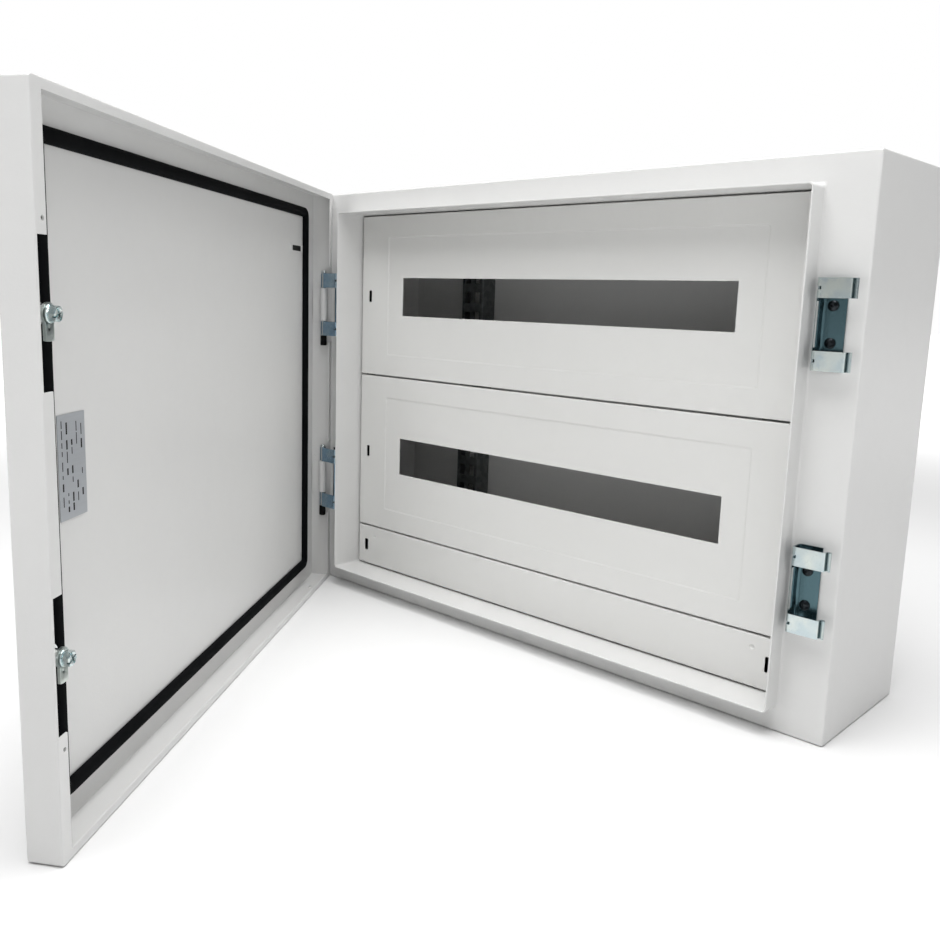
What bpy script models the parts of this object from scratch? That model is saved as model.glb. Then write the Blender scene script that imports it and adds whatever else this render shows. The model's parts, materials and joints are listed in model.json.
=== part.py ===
"""Wall-mounted distribution enclosure: sheet-steel cabinet, hinged door and three inner covers.

Metres, +Z up. The origin is the middle of the back face, where the cabinet meets the wall. +X is to the
right as one faces the cabinet and -Y points out of the wall. The door is drawn shut and then turned about
its hinge axis by REST_OPENING.
"""

import math

import bmesh
import bpy
from mathutils import Matrix, Vector

# driving dimensions
CABINET_WIDTH = 0.660
CABINET_HEIGHT = 0.492
CABINET_DEPTH = 0.163        # wall to front flange
SHEET = 0.0015
GAP = 0.0003                 # clearance between pieces that rest on each other

COLLAR_SIDE_INSET = 0.042
COLLAR_TOP_INSET = 0.0245
COLLAR_BOTTOM_INSET = 0.0225
COLLAR_HEIGHT = 0.022        # ahead of the flange
COLLAR_REACH_BACK = 0.032    # behind the flange, past the covers
COLLAR_RADIUS = 0.004

MODULE_WINDOW_WIDTH = 0.425  # 24 modules
MODULE_WINDOW_HEIGHT = 0.045
COVER_WIDTH = 0.568
COVER_HEIGHT = 0.1925
BLANK_HEIGHT = 0.0495
COVER_GAP = 0.002
COVER_RECESS = 0.0175        # cover face behind the flange
COVER_SHEET = 0.0012
COVER_RIM = 0.010
COVER_FLOOR_GAP = 0.002
SLOT_WIDTH = 0.0052

DOOR_GAP = 0.0035            # flange to door lips
DOOR_DEPTH = 0.0265
DOOR_LIP_TOP = 0.007
DOOR_LIP_SIDE = 0.0105
LIP_CUTOUT = 0.093
GASKET_WIDTH = 0.011
REST_OPENING = math.radians(55)

HINGE_INSET = 0.0065         # hinge axis from the cabinet's side
HINGE_AHEAD = 0.0125         # hinge axis ahead of the flange
BRACKET_OFFSET = 0.1105      # bracket centres above and below mid-height
HINGE_BRACKET_HEIGHT = 0.077
KEEPER_HEIGHT = 0.074
KEEPER_CURL = 0.0018         # radius of a keeper's stiffening curl, at mid-sheet
KEEPER_CURL_INSET = 0.0060   # its centre from the cabinet's side
BRACKET_WINDOW = 0.042
BRACKET_SHEET = 0.0013
BRACKET_FRONT = 0.0165       # arm face ahead of the flange
CURL_TIP = 0.0140            # the curl's free edge, ahead of the flange
BRACKET_WALL_INSET = 0.035   # bracket's side wall from the cabinet's side
PIN_DIAMETER = 0.0048
KNUCKLE_RADIUS = 0.0046

LOCK_INSET = 0.0215          # lock axis from the door's free edge
TONGUE_REACH = 0.017
TONGUE_WIDTH = 0.0096
TONGUE_THICKNESS = 0.002
TONGUE_BACK = 0.0118         # tongue's door side, ahead of the flange
BARREL_DIAMETER = 0.017

UPRIGHT_WIDTH = 0.0355
UPRIGHT_DEPTH = 0.0232
UPRIGHT_CENTRE = 0.207       # from mid-width

# derived places
LEFT, RIGHT = -CABINET_WIDTH / 2, CABINET_WIDTH / 2
BOTTOM, TOP = -CABINET_HEIGHT / 2, CABINET_HEIGHT / 2
FLANGE = -CABINET_DEPTH
COLLAR_X = CABINET_WIDTH / 2 - COLLAR_SIDE_INSET
COLLAR_LOW, COLLAR_HIGH = BOTTOM + COLLAR_BOTTOM_INSET, TOP - COLLAR_TOP_INSET
DOOR_LIP_FACE = FLANGE - DOOR_GAP
DOOR_FACE = DOOR_LIP_FACE - DOOR_DEPTH
DOOR_PANEL = DOOR_FACE + SHEET
HINGE_AXIS = Vector((LEFT + HINGE_INSET, FLANGE - HINGE_AHEAD, 0))
COVER_FACE = FLANGE + COVER_RECESS
PIN_CURL = PIN_DIAMETER / 2 + GAP + BRACKET_SHEET / 2   # radius of the curl round a pin, at mid-sheet
LOCK_X = RIGHT - LOCK_INSET
LEVELS = {"upper": BRACKET_OFFSET, "lower": -BRACKET_OFFSET}

for old in list(bpy.data.objects):
    bpy.data.objects.remove(old, do_unlink=True)

parts = bpy.data.collections.new("load_center")
cutters = bpy.data.collections.new("cutters")
for collection in (parts, cutters):
    bpy.context.scene.collection.children.link(collection)


def material(name, colour, roughness, metallic=0.0):
    """A Principled material of one colour."""
    made = bpy.data.materials.new(name)
    made.use_nodes = True
    shader = made.node_tree.nodes["Principled BSDF"]
    shader.inputs["Base Color"].default_value = (*colour, 1)
    shader.inputs["Roughness"].default_value = roughness
    shader.inputs["Metallic"].default_value = metallic
    return made


COAT = material("white_powder_coat", (0.78, 0.78, 0.77), 0.45)
COVER_COAT = material("cover_powder_coat", (0.80, 0.80, 0.79), 0.40)
ZINC = material("blue_zinc", (0.52, 0.57, 0.58), 0.30, 1.0)
DARK_STEEL = material("dark_galvanised", (0.16, 0.17, 0.17), 0.50, 0.8)
FOAM = material("black_foam", (0.015, 0.015, 0.015), 0.90)
BLACK_PLASTIC = material("black_plastic", (0.02, 0.02, 0.02), 0.50)
GREY_PLASTIC = material("grey_plastic", (0.25, 0.26, 0.27), 0.55)
BRASS = material("brass", (0.72, 0.53, 0.22), 0.30, 1.0)
SILVER_FOIL = material("silver_foil", (0.55, 0.56, 0.58), 0.35, 0.6)


def keep(mesh, name, paint, helper=False):
    """Makes a mesh an object of the part, or a hidden helper for a Boolean."""
    made = bpy.data.objects.new(name, mesh)
    if helper:
        cutters.objects.link(made)
        made.hide_render = True
        made.display_type = "WIRE"
    else:
        parts.objects.link(made)
        mesh.materials.append(paint)
    return made


def from_bmesh(shape, name, paint, helper=False):
    bmesh.ops.recalc_face_normals(shape, faces=shape.faces)
    mesh = bpy.data.meshes.new(name)
    shape.to_mesh(mesh)
    shape.free()
    return keep(mesh, name, paint, helper)


def block(name, low, high, paint=None, rounding=0, along=None, segments=2):
    """A box between two corners. rounding bevels every edge, or only those that run along one axis."""
    low, high = Vector(low), Vector(high)
    shape = bmesh.new()
    bmesh.ops.create_cube(shape, size=1)
    for corner in shape.verts:
        corner.co = [low[i] + (corner.co[i] + 0.5) * (high[i] - low[i]) for i in range(3)]
    if rounding:
        edges = shape.edges[:]
        if along is not None:
            edges = [e for e in edges if abs((e.verts[0].co - e.verts[1].co).normalized()[along]) > 0.9]
        bmesh.ops.bevel(shape, geom=edges, offset=rounding, segments=segments, profile=0.5,
                        affect="EDGES", clamp_overlap=True)
    return from_bmesh(shape, name, paint, helper=paint is None)


def rod(name, centre, radius, start, end, paint=None, sides=20, axis="Y"):
    """A cylinder, or a prism with few sides, from start to end along an axis."""
    shape = bmesh.new()
    bmesh.ops.create_cone(shape, cap_ends=True, segments=sides, radius1=radius, radius2=radius,
                          depth=end - start)
    middle = (start + end) / 2
    if axis == "Y":
        shape.transform(Matrix.Translation((centre[0], middle, centre[1])) @ Matrix.Rotation(math.pi / 2, 4, "X"))
    else:
        shape.transform(Matrix.Translation((centre[0], centre[1], middle)))
    made = from_bmesh(shape, name, paint, helper=paint is None)
    if sides > 8:
        made.data.shade_smooth()
        made.data.set_sharp_from_angle(angle=math.radians(35))
    return made


def boolean(target, other, operation="DIFFERENCE"):
    step = target.modifiers.new(other.name, "BOOLEAN")
    step.operation = operation
    step.object = other
    return target


def cut(target, *others):
    for other in others:
        boolean(target, other)


def frame_ring(name, outer_low, outer_high, wall, start, end, radius, paint=None, segments=6):
    """A ring with rounded corners round an opening in XZ, from start to end in Y. wall is the ring's
    width on its left, right, bottom and top sides."""
    left, right, low, high = wall
    ring = block(name, (outer_low[0], start, outer_low[1]), (outer_high[0], end, outer_high[1]),
                 paint, radius, along=1, segments=segments)
    hole = block(name + "_hole", (outer_low[0] + left, start - 0.01, outer_low[1] + low),
                 (outer_high[0] - right, end + 0.01, outer_high[1] - high),
                 None, max(radius - min(wall), 0.002), along=1, segments=segments)
    cut(ring, hole)
    return ring


# cabinet ------------------------------------------------------------------------------------------------
def bracket_screw_places(side, level):
    """Screw centres (x, z) of a bracket on the left (-1) or right (1) flange."""
    x = side * (CABINET_WIDTH / 2 - BRACKET_WALL_INSET + 0.0093)
    return [(x, level + 0.015), (x, level - 0.015)]


GLAND_LOW, GLAND_HIGH = (-0.150, FLANGE + 0.045), (0.150, FLANGE + 0.135)
SCREW_HOLE, WALL_HOLE = 0.0028, 0.00425


def build_shell():
    """Box with back wall, front flange, collar round the opening, fixing holes and cable opening."""
    shell = block("cabinet_shell", (LEFT, FLANGE, BOTTOM), (RIGHT, 0, TOP), COAT, 0.0018)
    cut(shell, block("shell_inside", (LEFT + SHEET, FLANGE + SHEET, BOTTOM + SHEET),
                     (RIGHT - SHEET, -SHEET, TOP - SHEET)))
    overlap = SHEET / 2
    cut(shell, block("shell_opening", (-COLLAR_X + overlap, FLANGE - 0.01, COLLAR_LOW + overlap),
                     (COLLAR_X - overlap, FLANGE + 0.01, COLLAR_HIGH - overlap),
                     rounding=COLLAR_RADIUS, along=1, segments=6))
    collar = frame_ring("collar", (-COLLAR_X, COLLAR_LOW), (COLLAR_X, COLLAR_HIGH), [SHEET] * 4,
                        FLANGE - COLLAR_HEIGHT, FLANGE + COLLAR_REACH_BACK, COLLAR_RADIUS)
    boolean(shell, collar, "UNION")
    cut(shell, block("cable_opening", (GLAND_LOW[0], GLAND_LOW[1], BOTTOM - 0.01),
                     (GLAND_HIGH[0], GLAND_HIGH[1], BOTTOM + 0.01), rounding=0.006, along=2))
    for x in (-0.275, 0.275):
        for z in (-0.190, 0.190):
            cut(shell, rod("wall_hole", (x, z), WALL_HOLE, -0.01, 0.01, sides=16))
    for side in (-1, 1):
        for level in LEVELS.values():
            for place in bracket_screw_places(side, level):
                cut(shell, rod("flange_hole", place, SCREW_HOLE, FLANGE - 0.005, FLANGE + 0.005, sides=12))
    return shell


def build_gland():
    """Gland plate over its seal, inside the floor, with four screws."""
    edge, floor = 0.014, BOTTOM + SHEET + GAP
    low, high = (GLAND_LOW[0] - edge, GLAND_LOW[1] - edge), (GLAND_HIGH[0] + edge, GLAND_HIGH[1] + edge)
    seal = block("gland_seal", (*low, floor), (*high, floor + 0.002), FOAM, 0.004, along=2)
    cut(seal, block("gland_seal_hole", (*GLAND_LOW, floor - 0.01), (*GLAND_HIGH, floor + 0.01)))
    under = floor + 0.002 + GAP
    plate = block("gland_plate", (*low, under), (*high, under + 0.0015), COAT, 0.004, along=2)
    corners = [(x, y) for x in (low[0] + 0.007, high[0] - 0.007) for y in (low[1] + 0.007, high[1] - 0.007)]
    names = ("front_left", "rear_left", "front_right", "rear_right")
    for name, place in zip(names, corners):
        hole = rod("gland_hole", place, 0.0024, floor - 0.01, under + 0.01, sides=12, axis="Z")
        cut(seal, hole)
        cut(plate, hole)
        top = under + 0.0015 + GAP
        screw = rod("gland_screw_" + name, place, 0.0038, top, top + 0.0025, ZINC, 16, "Z")
        shank = rod("gland_shank", place, 0.0019, floor, top + 0.001, sides=10, axis="Z")
        boolean(screw, shank, "UNION")


def build_upright(side, word):
    """Channel on the back wall that carries the mounting rails, held by two bolts."""
    middle = side * UPRIGHT_CENTRE
    back, front = -SHEET - GAP, -SHEET - GAP - UPRIGHT_DEPTH
    low, high = BOTTOM + 0.026, TOP - 0.030
    half = UPRIGHT_WIDTH / 2
    channel = block("upright_" + word, (middle - half, front, low), (middle + half, back, high), DARK_STEEL,
                    0.001, along=2)
    cut(channel, block("upright_inside", (middle - half + SHEET, front + SHEET, low - 0.01),
                       (middle + half - SHEET, back + 0.01, high + 0.01)))
    for name, z in (("upper", high - 0.018), ("lower", low + 0.018)):
        cut(channel, rod("upright_hole", (middle, z), 0.0034, front - 0.005, front + 0.005, sides=12))
        head = rod(f"upright_bolt_{word}_{name}", (middle, z), 0.0058, front - GAP - 0.004, front - GAP,
                   ZINC, 6)
        boolean(head, rod("bolt_shank", (middle, z), 0.0029, front - GAP - 0.002, back - GAP, sides=12), "UNION")


def build_cover_rail(side, word):
    """Angle behind the cover ends, inside the collar, that the covers clip to."""
    wall = side * (COLLAR_X - SHEET - GAP)
    front = COVER_FACE + COVER_RIM + 0.0008
    low, high = COLLAR_LOW + SHEET + 0.002, COLLAR_HIGH - SHEET - 0.004
    inner, leaf = wall - side * 0.010, wall - side * SHEET
    rail = block("cover_rail_" + word, (min(wall, inner), front, low), (max(wall, inner), front + SHEET, high),
                 DARK_STEEL)
    boolean(rail, block("rail_leaf", (min(wall, leaf), front, low), (max(wall, leaf), front + 0.014, high)), "UNION")


def build_terminal_bars():
    """Earth and neutral bars on plastic feet, on a strip between the uprights, behind the blank cover."""
    level = BOTTOM + 0.060
    front = -SHEET - GAP - UPRIGHT_DEPTH
    reach = UPRIGHT_CENTRE + UPRIGHT_WIDTH / 2
    block("bar_strip", (-reach, front - GAP - SHEET, level - 0.010), (reach, front - GAP, level + 0.010), DARK_STEEL)
    for x, word in ((-0.095, "earth"), (0.095, "neutral")):
        back = front - GAP - SHEET - GAP
        foot = block(word + "_bar_foot", (x - 0.070, back - 0.014, level - 0.006), (x + 0.070, back, level + 0.006),
                     GREY_PLASTIC, 0.001)
        cut(foot, block("foot_gap", (x - 0.055, back - 0.009, level - 0.01), (x + 0.055, back + 0.01, level + 0.01)))
        block(word + "_bar", (x - 0.078, back - 0.014 - GAP - 0.008, level - 0.0045),
              (x + 0.078, back - 0.014 - GAP, level + 0.0045), BRASS, 0.0005)


def bracket_profile(across, curl, segments=7):
    """Cross-section of a bracket as (distance from the cabinet's side, distance ahead of the flange):
    foot, side wall, arm and the open curl, which holds the pin on a hinge bracket."""
    half = BRACKET_SHEET / 2
    wall = BRACKET_WALL_INSET - half
    arm = BRACKET_FRONT - half
    centre = across, HINGE_AHEAD
    points = [(0.0150, GAP + half), (wall, GAP + half), (wall, arm), (centre[0] + curl, arm)]
    for i in range(segments + 1):
        angle = -math.pi * i / segments
        points.append((centre[0] + curl * math.cos(angle), centre[1] + curl * math.sin(angle)))
    points.append((centre[0] - curl, CURL_TIP))
    return points


def build_bracket(name, side, level):
    """Pressed bracket: a hinge bracket on the left, a slightly shorter lock keeper on the right."""
    shape = bmesh.new()
    if side < 0:
        height, profile = HINGE_BRACKET_HEIGHT, bracket_profile(HINGE_INSET, PIN_CURL)
    else:
        height, profile = KEEPER_HEIGHT, bracket_profile(KEEPER_CURL_INSET, KEEPER_CURL)
    base, last = level - height / 2, None
    for inset, ahead in profile:
        point = shape.verts.new((side * (CABINET_WIDTH / 2 - inset), FLANGE - ahead, base))
        if last:
            shape.edges.new((last, point))
        last = point
    raised = bmesh.ops.extrude_edge_only(shape, edges=shape.edges[:])["geom"]
    bmesh.ops.translate(shape, vec=(0, 0, height),
                        verts=[v for v in raised if isinstance(v, bmesh.types.BMVert)])
    bracket = from_bmesh(shape, name, ZINC)
    wall = bracket.modifiers.new("wall", "SOLIDIFY")
    wall.thickness = BRACKET_SHEET
    wall.offset = 0
    wall.use_even_offset = True
    wall_x = CABINET_WIDTH / 2 - BRACKET_WALL_INSET

    def across(name_, near, far, back, front, low, high):
        ends = sorted((side * (wall_x + near), side * (wall_x + far)))
        return block(name_, (ends[0], FLANGE - front, level + low), (ends[1], FLANGE - back, level + high))

    half = BRACKET_WINDOW / 2
    cut(bracket, across("bracket_window", BRACKET_SHEET, 0.06, 0.004, 0.03, -half, half))
    cut(bracket, across("tongue_slot", -0.003, 0.004, 0.0085, 0.0152, -0.0185, 0.0185))
    for arm in (-1, 1):
        middle = arm * (half + height / 2) / 2
        cut(bracket, across("bend_relief", -0.003, BRACKET_SHEET, 0.0140, 0.03, middle - 0.001, middle + 0.001))
    for place in bracket_screw_places(side, level):
        cut(bracket, rod("bracket_hole", place, SCREW_HOLE, FLANGE - 0.004, FLANGE + 0.004, sides=12))
    return bracket


def build_button_screw(name, place, seat):
    """Button-head socket screw: a turned head and shank, with a hexagon socket."""
    rim, height, shank, length = 0.0044, 0.0024, 0.0025, 0.008
    arc = [(rim * math.cos(a), height * (0.25 + 0.75 * math.sin(a))) for a in
           [math.pi / 2 * i / 4 for i in range(4)]]
    outline = [(0, height), (0.0018, height)] + arc[::-1] + [(rim, 0), (shank, 0), (shank, -length), (0, -length)]
    shape = bmesh.new()
    points = [shape.verts.new((x, 0, z)) for x, z in outline]
    for first, second in zip(points, points[1:]):
        shape.edges.new((first, second))
    mesh = bpy.data.meshes.new(name)
    shape.to_mesh(mesh)
    shape.free()
    screw = keep(mesh, name, ZINC)
    turn = screw.modifiers.new("turn", "SCREW")
    turn.steps = turn.render_steps = 14
    turn.use_merge_vertices = True
    turn.merge_threshold = 0.00001
    screw.location = (place[0], seat, place[1])
    screw.rotation_euler = (math.pi / 2, 0, 0)
    cut(screw, rod("hexagon_socket", place, 0.0016, seat - 0.01, seat - height + 0.0015, sides=6))
    return screw


# door ----------------------------------------------------------------------------------------------------
hinge = bpy.data.objects.new("door_hinge_axis", None)
parts.objects.link(hinge)
hinge.location = HINGE_AXIS
hinge.rotation_euler = (0, 0, -REST_OPENING)


def on_door(*pieces):
    """Hangs pieces, with their cutters, that were drawn on the shut door from the hinge axis."""
    for piece in pieces:
        piece.parent = hinge
        piece.matrix_parent_inverse = Matrix.Translation(-HINGE_AXIS)
        for step in piece.modifiers:
            if step.type == "BOOLEAN" and step.object.parent is None:
                on_door(step.object)


def build_door():
    """Pan with a folded rim and inward lips, cut away round the brackets and bored for the locks."""
    pan = block("door_pan", (LEFT, DOOR_FACE, BOTTOM), (RIGHT, DOOR_LIP_FACE, TOP), COAT, 0.0025, segments=3)
    cut(pan, block("door_inside", (LEFT + SHEET, DOOR_PANEL, BOTTOM + SHEET),
                   (RIGHT - SHEET, DOOR_LIP_FACE - SHEET, TOP - SHEET), rounding=0.001))
    cut(pan, block("door_mouth", (LEFT + DOOR_LIP_SIDE, DOOR_PANEL + 0.005, BOTTOM + DOOR_LIP_TOP),
                   (RIGHT - DOOR_LIP_SIDE, DOOR_LIP_FACE + 0.01, TOP - DOOR_LIP_TOP)))
    for level in LEVELS.values():
        for edge in (LEFT, RIGHT):
            inner = edge + SHEET if edge < 0 else edge - SHEET
            far = inner + 0.02 if edge < 0 else inner - 0.02
            cut(pan, block("lip_cutout", (min(inner, far), DOOR_LIP_FACE - 0.003, level - LIP_CUTOUT / 2),
                           (max(inner, far), DOOR_LIP_FACE + 0.003, level + LIP_CUTOUT / 2)))
        cut(pan, rod("lock_hole", (LOCK_X, level), BARREL_DIAMETER / 2 + 0.0004, DOOR_FACE - 0.005,
                     DOOR_PANEL + 0.005, sides=24))
    for z in (TOP - 0.0795, BOTTOM + 0.079):
        cut(pan, rod("lip_hole", (RIGHT - 0.0072, z), 0.0014, DOOR_LIP_FACE - 0.004, DOOR_LIP_FACE + 0.004,
                     sides=12))
    cut(pan, block("drain_slot", (LEFT + 0.052, DOOR_LIP_FACE - 0.012, BOTTOM - 0.005),
                   (LEFT + 0.062, DOOR_LIP_FACE - 0.009, BOTTOM + 0.005)))
    on_door(pan)


def build_gasket():
    """Foamed seal on the door's inside, where the collar's edge lands."""
    low = (-COLLAR_X - 0.0055, COLLAR_LOW - 0.0005)
    high = (COLLAR_X + 0.0055, COLLAR_HIGH + 0.0045)
    seal = frame_ring("door_gasket", low, high, [GASKET_WIDTH] * 4, DOOR_PANEL + GAP,
                      FLANGE - COLLAR_HEIGHT - GAP, 0.013, FOAM)
    on_door(seal)


def build_door_leaf(name, level):
    """Knuckle round the hinge pin with the leaf that is welded to the door's rim."""
    x, y = HINGE_AXIS.x, HINGE_AXIS.y
    reach = BRACKET_WINDOW / 2 - 0.0007
    low, high = level - reach, level + reach
    leaf = rod(name, (x, y), KNUCKLE_RADIUS, low, high, COAT, 24, "Z")
    plate = block("leaf_plate", (LEFT + SHEET + GAP, DOOR_PANEL + 0.0012, low),
                  (LEFT + 2 * SHEET + GAP, y, high))
    boolean(leaf, plate, "UNION")
    cut(leaf, rod("knuckle_bore", (x, y), PIN_DIAMETER / 2 + 0.0004, low - 0.01, high + 0.01, sides=20, axis="Z"))
    on_door(leaf)


def build_hinge_pin(word, level):
    """Pin through the bracket's curls, with a head above and a plastic cap below."""
    x, y = HINGE_AXIS.x, HINGE_AXIS.y
    top, bottom = level + HINGE_BRACKET_HEIGHT / 2 + GAP, level - HINGE_BRACKET_HEIGHT / 2 - GAP
    pin = rod("hinge_pin_" + word, (x, y), PIN_DIAMETER / 2, bottom - 0.008, top + 0.001, ZINC, 20, "Z")
    boolean(pin, rod("pin_head", (x, y), 0.0032, top, top + 0.003, sides=20, axis="Z"), "UNION")
    cap = rod("pin_cap_" + word, (x, y), 0.0041, bottom - 0.0125, bottom, BLACK_PLASTIC, 20, "Z")
    cut(cap, rod("cap_bore", (x, y), PIN_DIAMETER / 2 + GAP, bottom - 0.0085, bottom + 0.01, sides=20, axis="Z"))


def build_lock(word, level):
    """Quarter-turn lock: barrel and nut on the door, and a spindle that turns the tongue and its bolt."""
    place = (LOCK_X, level)
    nose = DOOR_FACE - GAP
    barrel = rod("lock_barrel_" + word, place, BARREL_DIAMETER / 2, nose - 0.001, FLANGE - 0.0185, ZINC, 24)
    boolean(barrel, rod("barrel_flange", place, 0.012, nose - 0.0022, nose, sides=28), "UNION")
    cut(barrel, rod("barrel_bore", place, 0.0061, nose - 0.01, FLANGE, sides=20))
    nut = rod("lock_nut_" + word, place, 0.0122, DOOR_PANEL + GAP, DOOR_PANEL + GAP + 0.005, ZINC, 6)
    cut(nut, rod("nut_bore", place, BARREL_DIAMETER / 2 + GAP, DOOR_PANEL - 0.01, DOOR_PANEL + 0.02, sides=24))

    tongue_back = FLANGE - TONGUE_BACK
    tongue_face = tongue_back + TONGUE_THICKNESS
    spindle = rod("lock_spindle_" + word, place, 0.0057, nose - 0.0020, tongue_back - GAP, ZINC, 20)
    square = 0.0035
    boolean(spindle, block("spindle_square", (place[0] - square, tongue_back - 0.002, place[1] - square),
                           (place[0] + square, tongue_face - GAP, place[1] + square)), "UNION")
    cut(spindle, rod("spindle_thread", place, 0.0025, tongue_back - 0.010, tongue_face + 0.01, sides=12))
    key_pit = rod("key_pit", place, 0.0045, nose - 0.01, nose + 0.003, sides=16)
    cut(key_pit, block("key_bar", (place[0] - 0.0046, nose - 0.012, place[1] - 0.0010),
                       (place[0] + 0.0046, nose + 0.005, place[1] + 0.0010)))
    cut(spindle, key_pit)

    half = TONGUE_WIDTH / 2
    tongue = block("lock_tongue_" + word, (place[0] - half, tongue_back, place[1] - TONGUE_REACH - 0.002),
                   (place[0] + half, tongue_face, place[1]), ZINC)
    boolean(tongue, rod("tongue_head", place, 0.0070, tongue_back, tongue_face, sides=24), "UNION")
    boolean(tongue, rod("tongue_sweep", place, TONGUE_REACH, tongue_back - 0.01, tongue_face + 0.01, sides=40),
            "INTERSECT")
    hole = square + GAP
    cut(tongue, block("tongue_square", (place[0] - hole, tongue_back - 0.01, place[1] - hole),
                      (place[0] + hole, tongue_face + 0.01, place[1] + hole)))

    washer = tongue_face + GAP
    bolt = rod("lock_bolt_" + word, place, 0.0062, washer, washer + 0.0012, ZINC, 24)
    boolean(bolt, rod("bolt_head", place, 0.0055, washer + 0.0006, washer + 0.0062, sides=6), "UNION")
    boolean(bolt, rod("lock_bolt_shank", place, 0.0021, tongue_back - 0.007, washer + 0.001, sides=12), "UNION")
    for turn in (0, math.pi / 2):
        width = (0.0007, 0.010) if turn else (0.010, 0.0007)
        cut(bolt, block("bolt_slot", (place[0] - width[0], washer + 0.0044, place[1] - width[1]),
                        (place[0] + width[0], washer + 0.02, place[1] + width[1])))
    on_door(barrel, nut, spindle, tongue, bolt)


def build_label():
    plate = block("rating_label", (RIGHT - 0.090, DOOR_PANEL + GAP, BOTTOM + 0.211),
                  (RIGHT - 0.055, DOOR_PANEL + 2 * GAP, BOTTOM + 0.2885), SILVER_FOIL)
    on_door(plate)


# inner covers --------------------------------------------------------------------------------------------
SLOT_X = COVER_WIDTH / 2 - 0.0138


def build_cover(name, low, height, windowed, slots):
    """Pressed cover with a rim turned back, a module window and latch slots near its ends."""
    half = COVER_WIDTH / 2
    back = COVER_FACE + COVER_RIM
    cover = block(name, (-half, COVER_FACE, low), (half, back, low + height), COVER_COAT, 0.0012)
    cut(cover, block("cover_inside", (-half + COVER_SHEET, COVER_FACE + COVER_SHEET, low + COVER_SHEET),
                     (half - COVER_SHEET, back + 0.01, low + height - COVER_SHEET)))
    middle = low + height / 2
    if windowed:
        cut(cover, block("module_window", (-MODULE_WINDOW_WIDTH / 2, COVER_FACE - 0.01,
                                           middle - MODULE_WINDOW_HEIGHT / 2),
                         (MODULE_WINDOW_WIDTH / 2, back + 0.01, middle + MODULE_WINDOW_HEIGHT / 2)))
    for side in slots:
        x = side * SLOT_X
        cut(cover, block("latch_slot", (x - SLOT_WIDTH / 2, COVER_FACE - 0.01, middle - 0.007),
                         (x + SLOT_WIDTH / 2, back + 0.01, middle + 0.007), rounding=0.0012, along=1))
        word = "left" if side < 0 else "right"
        front = COVER_FACE + COVER_SHEET + GAP
        latch = block(f"{name}_latch_{word}", (x - 0.0045, front, middle - 0.0105),
                      (x + 0.0045, front + 0.0075, middle + 0.0105), BLACK_PLASTIC, 0.0008)
        cut(latch, block("latch_mouth", (x - SLOT_WIDTH / 2, front - 0.01, middle - 0.0072),
                         (x + SLOT_WIDTH / 2, front + 0.005, middle + 0.0072)))


def build_all():
    build_shell()
    build_gland()
    for side, word in ((-1, "left"), (1, "right")):
        build_upright(side, word)
        build_cover_rail(side, word)
    build_terminal_bars()
    seat = FLANGE - GAP - BRACKET_SHEET - GAP
    for word, level in LEVELS.items():
        for side, kind in ((-1, "hinge_bracket"), (1, "lock_keeper")):
            build_bracket(f"{kind}_{word}", side, level)
            for place, end in zip(bracket_screw_places(side, level), ("top", "bottom")):
                build_button_screw(f"{kind}_{word}_screw_{end}", place, seat)
        build_hinge_pin(word, level)
        build_door_leaf("door_knuckle_" + word, level)
        build_lock(word, level)
    build_door()
    build_gasket()
    build_label()
    low = COLLAR_LOW + SHEET + COVER_FLOOR_GAP
    build_cover("blank_cover", low, BLANK_HEIGHT, False, (-1, 1))
    low += BLANK_HEIGHT + COVER_GAP
    build_cover("lower_cover", low, COVER_HEIGHT, True, (-1,))
    low += COVER_HEIGHT + COVER_GAP
    build_cover("upper_cover", low, COVER_HEIGHT, True, (-1,))


build_all()
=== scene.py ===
import json
import math
import random

import bmesh
import bpy
from mathutils import Matrix, Vector, noise

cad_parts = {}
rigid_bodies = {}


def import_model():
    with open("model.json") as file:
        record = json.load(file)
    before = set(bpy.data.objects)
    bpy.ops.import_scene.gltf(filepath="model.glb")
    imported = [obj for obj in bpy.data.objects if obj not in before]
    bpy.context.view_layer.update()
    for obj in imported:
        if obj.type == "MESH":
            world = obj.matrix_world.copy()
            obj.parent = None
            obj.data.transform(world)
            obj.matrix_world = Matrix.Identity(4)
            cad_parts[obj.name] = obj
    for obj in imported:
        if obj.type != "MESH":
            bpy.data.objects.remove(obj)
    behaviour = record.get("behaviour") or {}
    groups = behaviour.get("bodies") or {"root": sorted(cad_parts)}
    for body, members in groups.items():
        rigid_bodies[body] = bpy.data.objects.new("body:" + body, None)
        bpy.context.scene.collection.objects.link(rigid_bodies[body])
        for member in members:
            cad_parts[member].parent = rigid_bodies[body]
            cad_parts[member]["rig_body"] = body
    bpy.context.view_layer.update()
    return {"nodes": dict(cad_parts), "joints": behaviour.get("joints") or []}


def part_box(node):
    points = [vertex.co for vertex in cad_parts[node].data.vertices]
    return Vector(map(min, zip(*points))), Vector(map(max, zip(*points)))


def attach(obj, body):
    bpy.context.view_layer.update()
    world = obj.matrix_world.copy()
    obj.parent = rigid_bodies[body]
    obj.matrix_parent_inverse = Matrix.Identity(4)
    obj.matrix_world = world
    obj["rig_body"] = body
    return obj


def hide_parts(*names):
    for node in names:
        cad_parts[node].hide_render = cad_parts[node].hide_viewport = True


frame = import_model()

mm = 0.001

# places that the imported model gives
shellLow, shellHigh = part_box("cabinet_shell")
collarHeight = 22 * mm
flange = shellLow.y + collarHeight  # front of the cabinet, round the collar
sheet = 1.5 * mm
levels = {word: (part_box("lock_keeper_" + word)[0].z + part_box("lock_keeper_" + word)[1].z) / 2
          for word in ("upper", "lower")}

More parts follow.
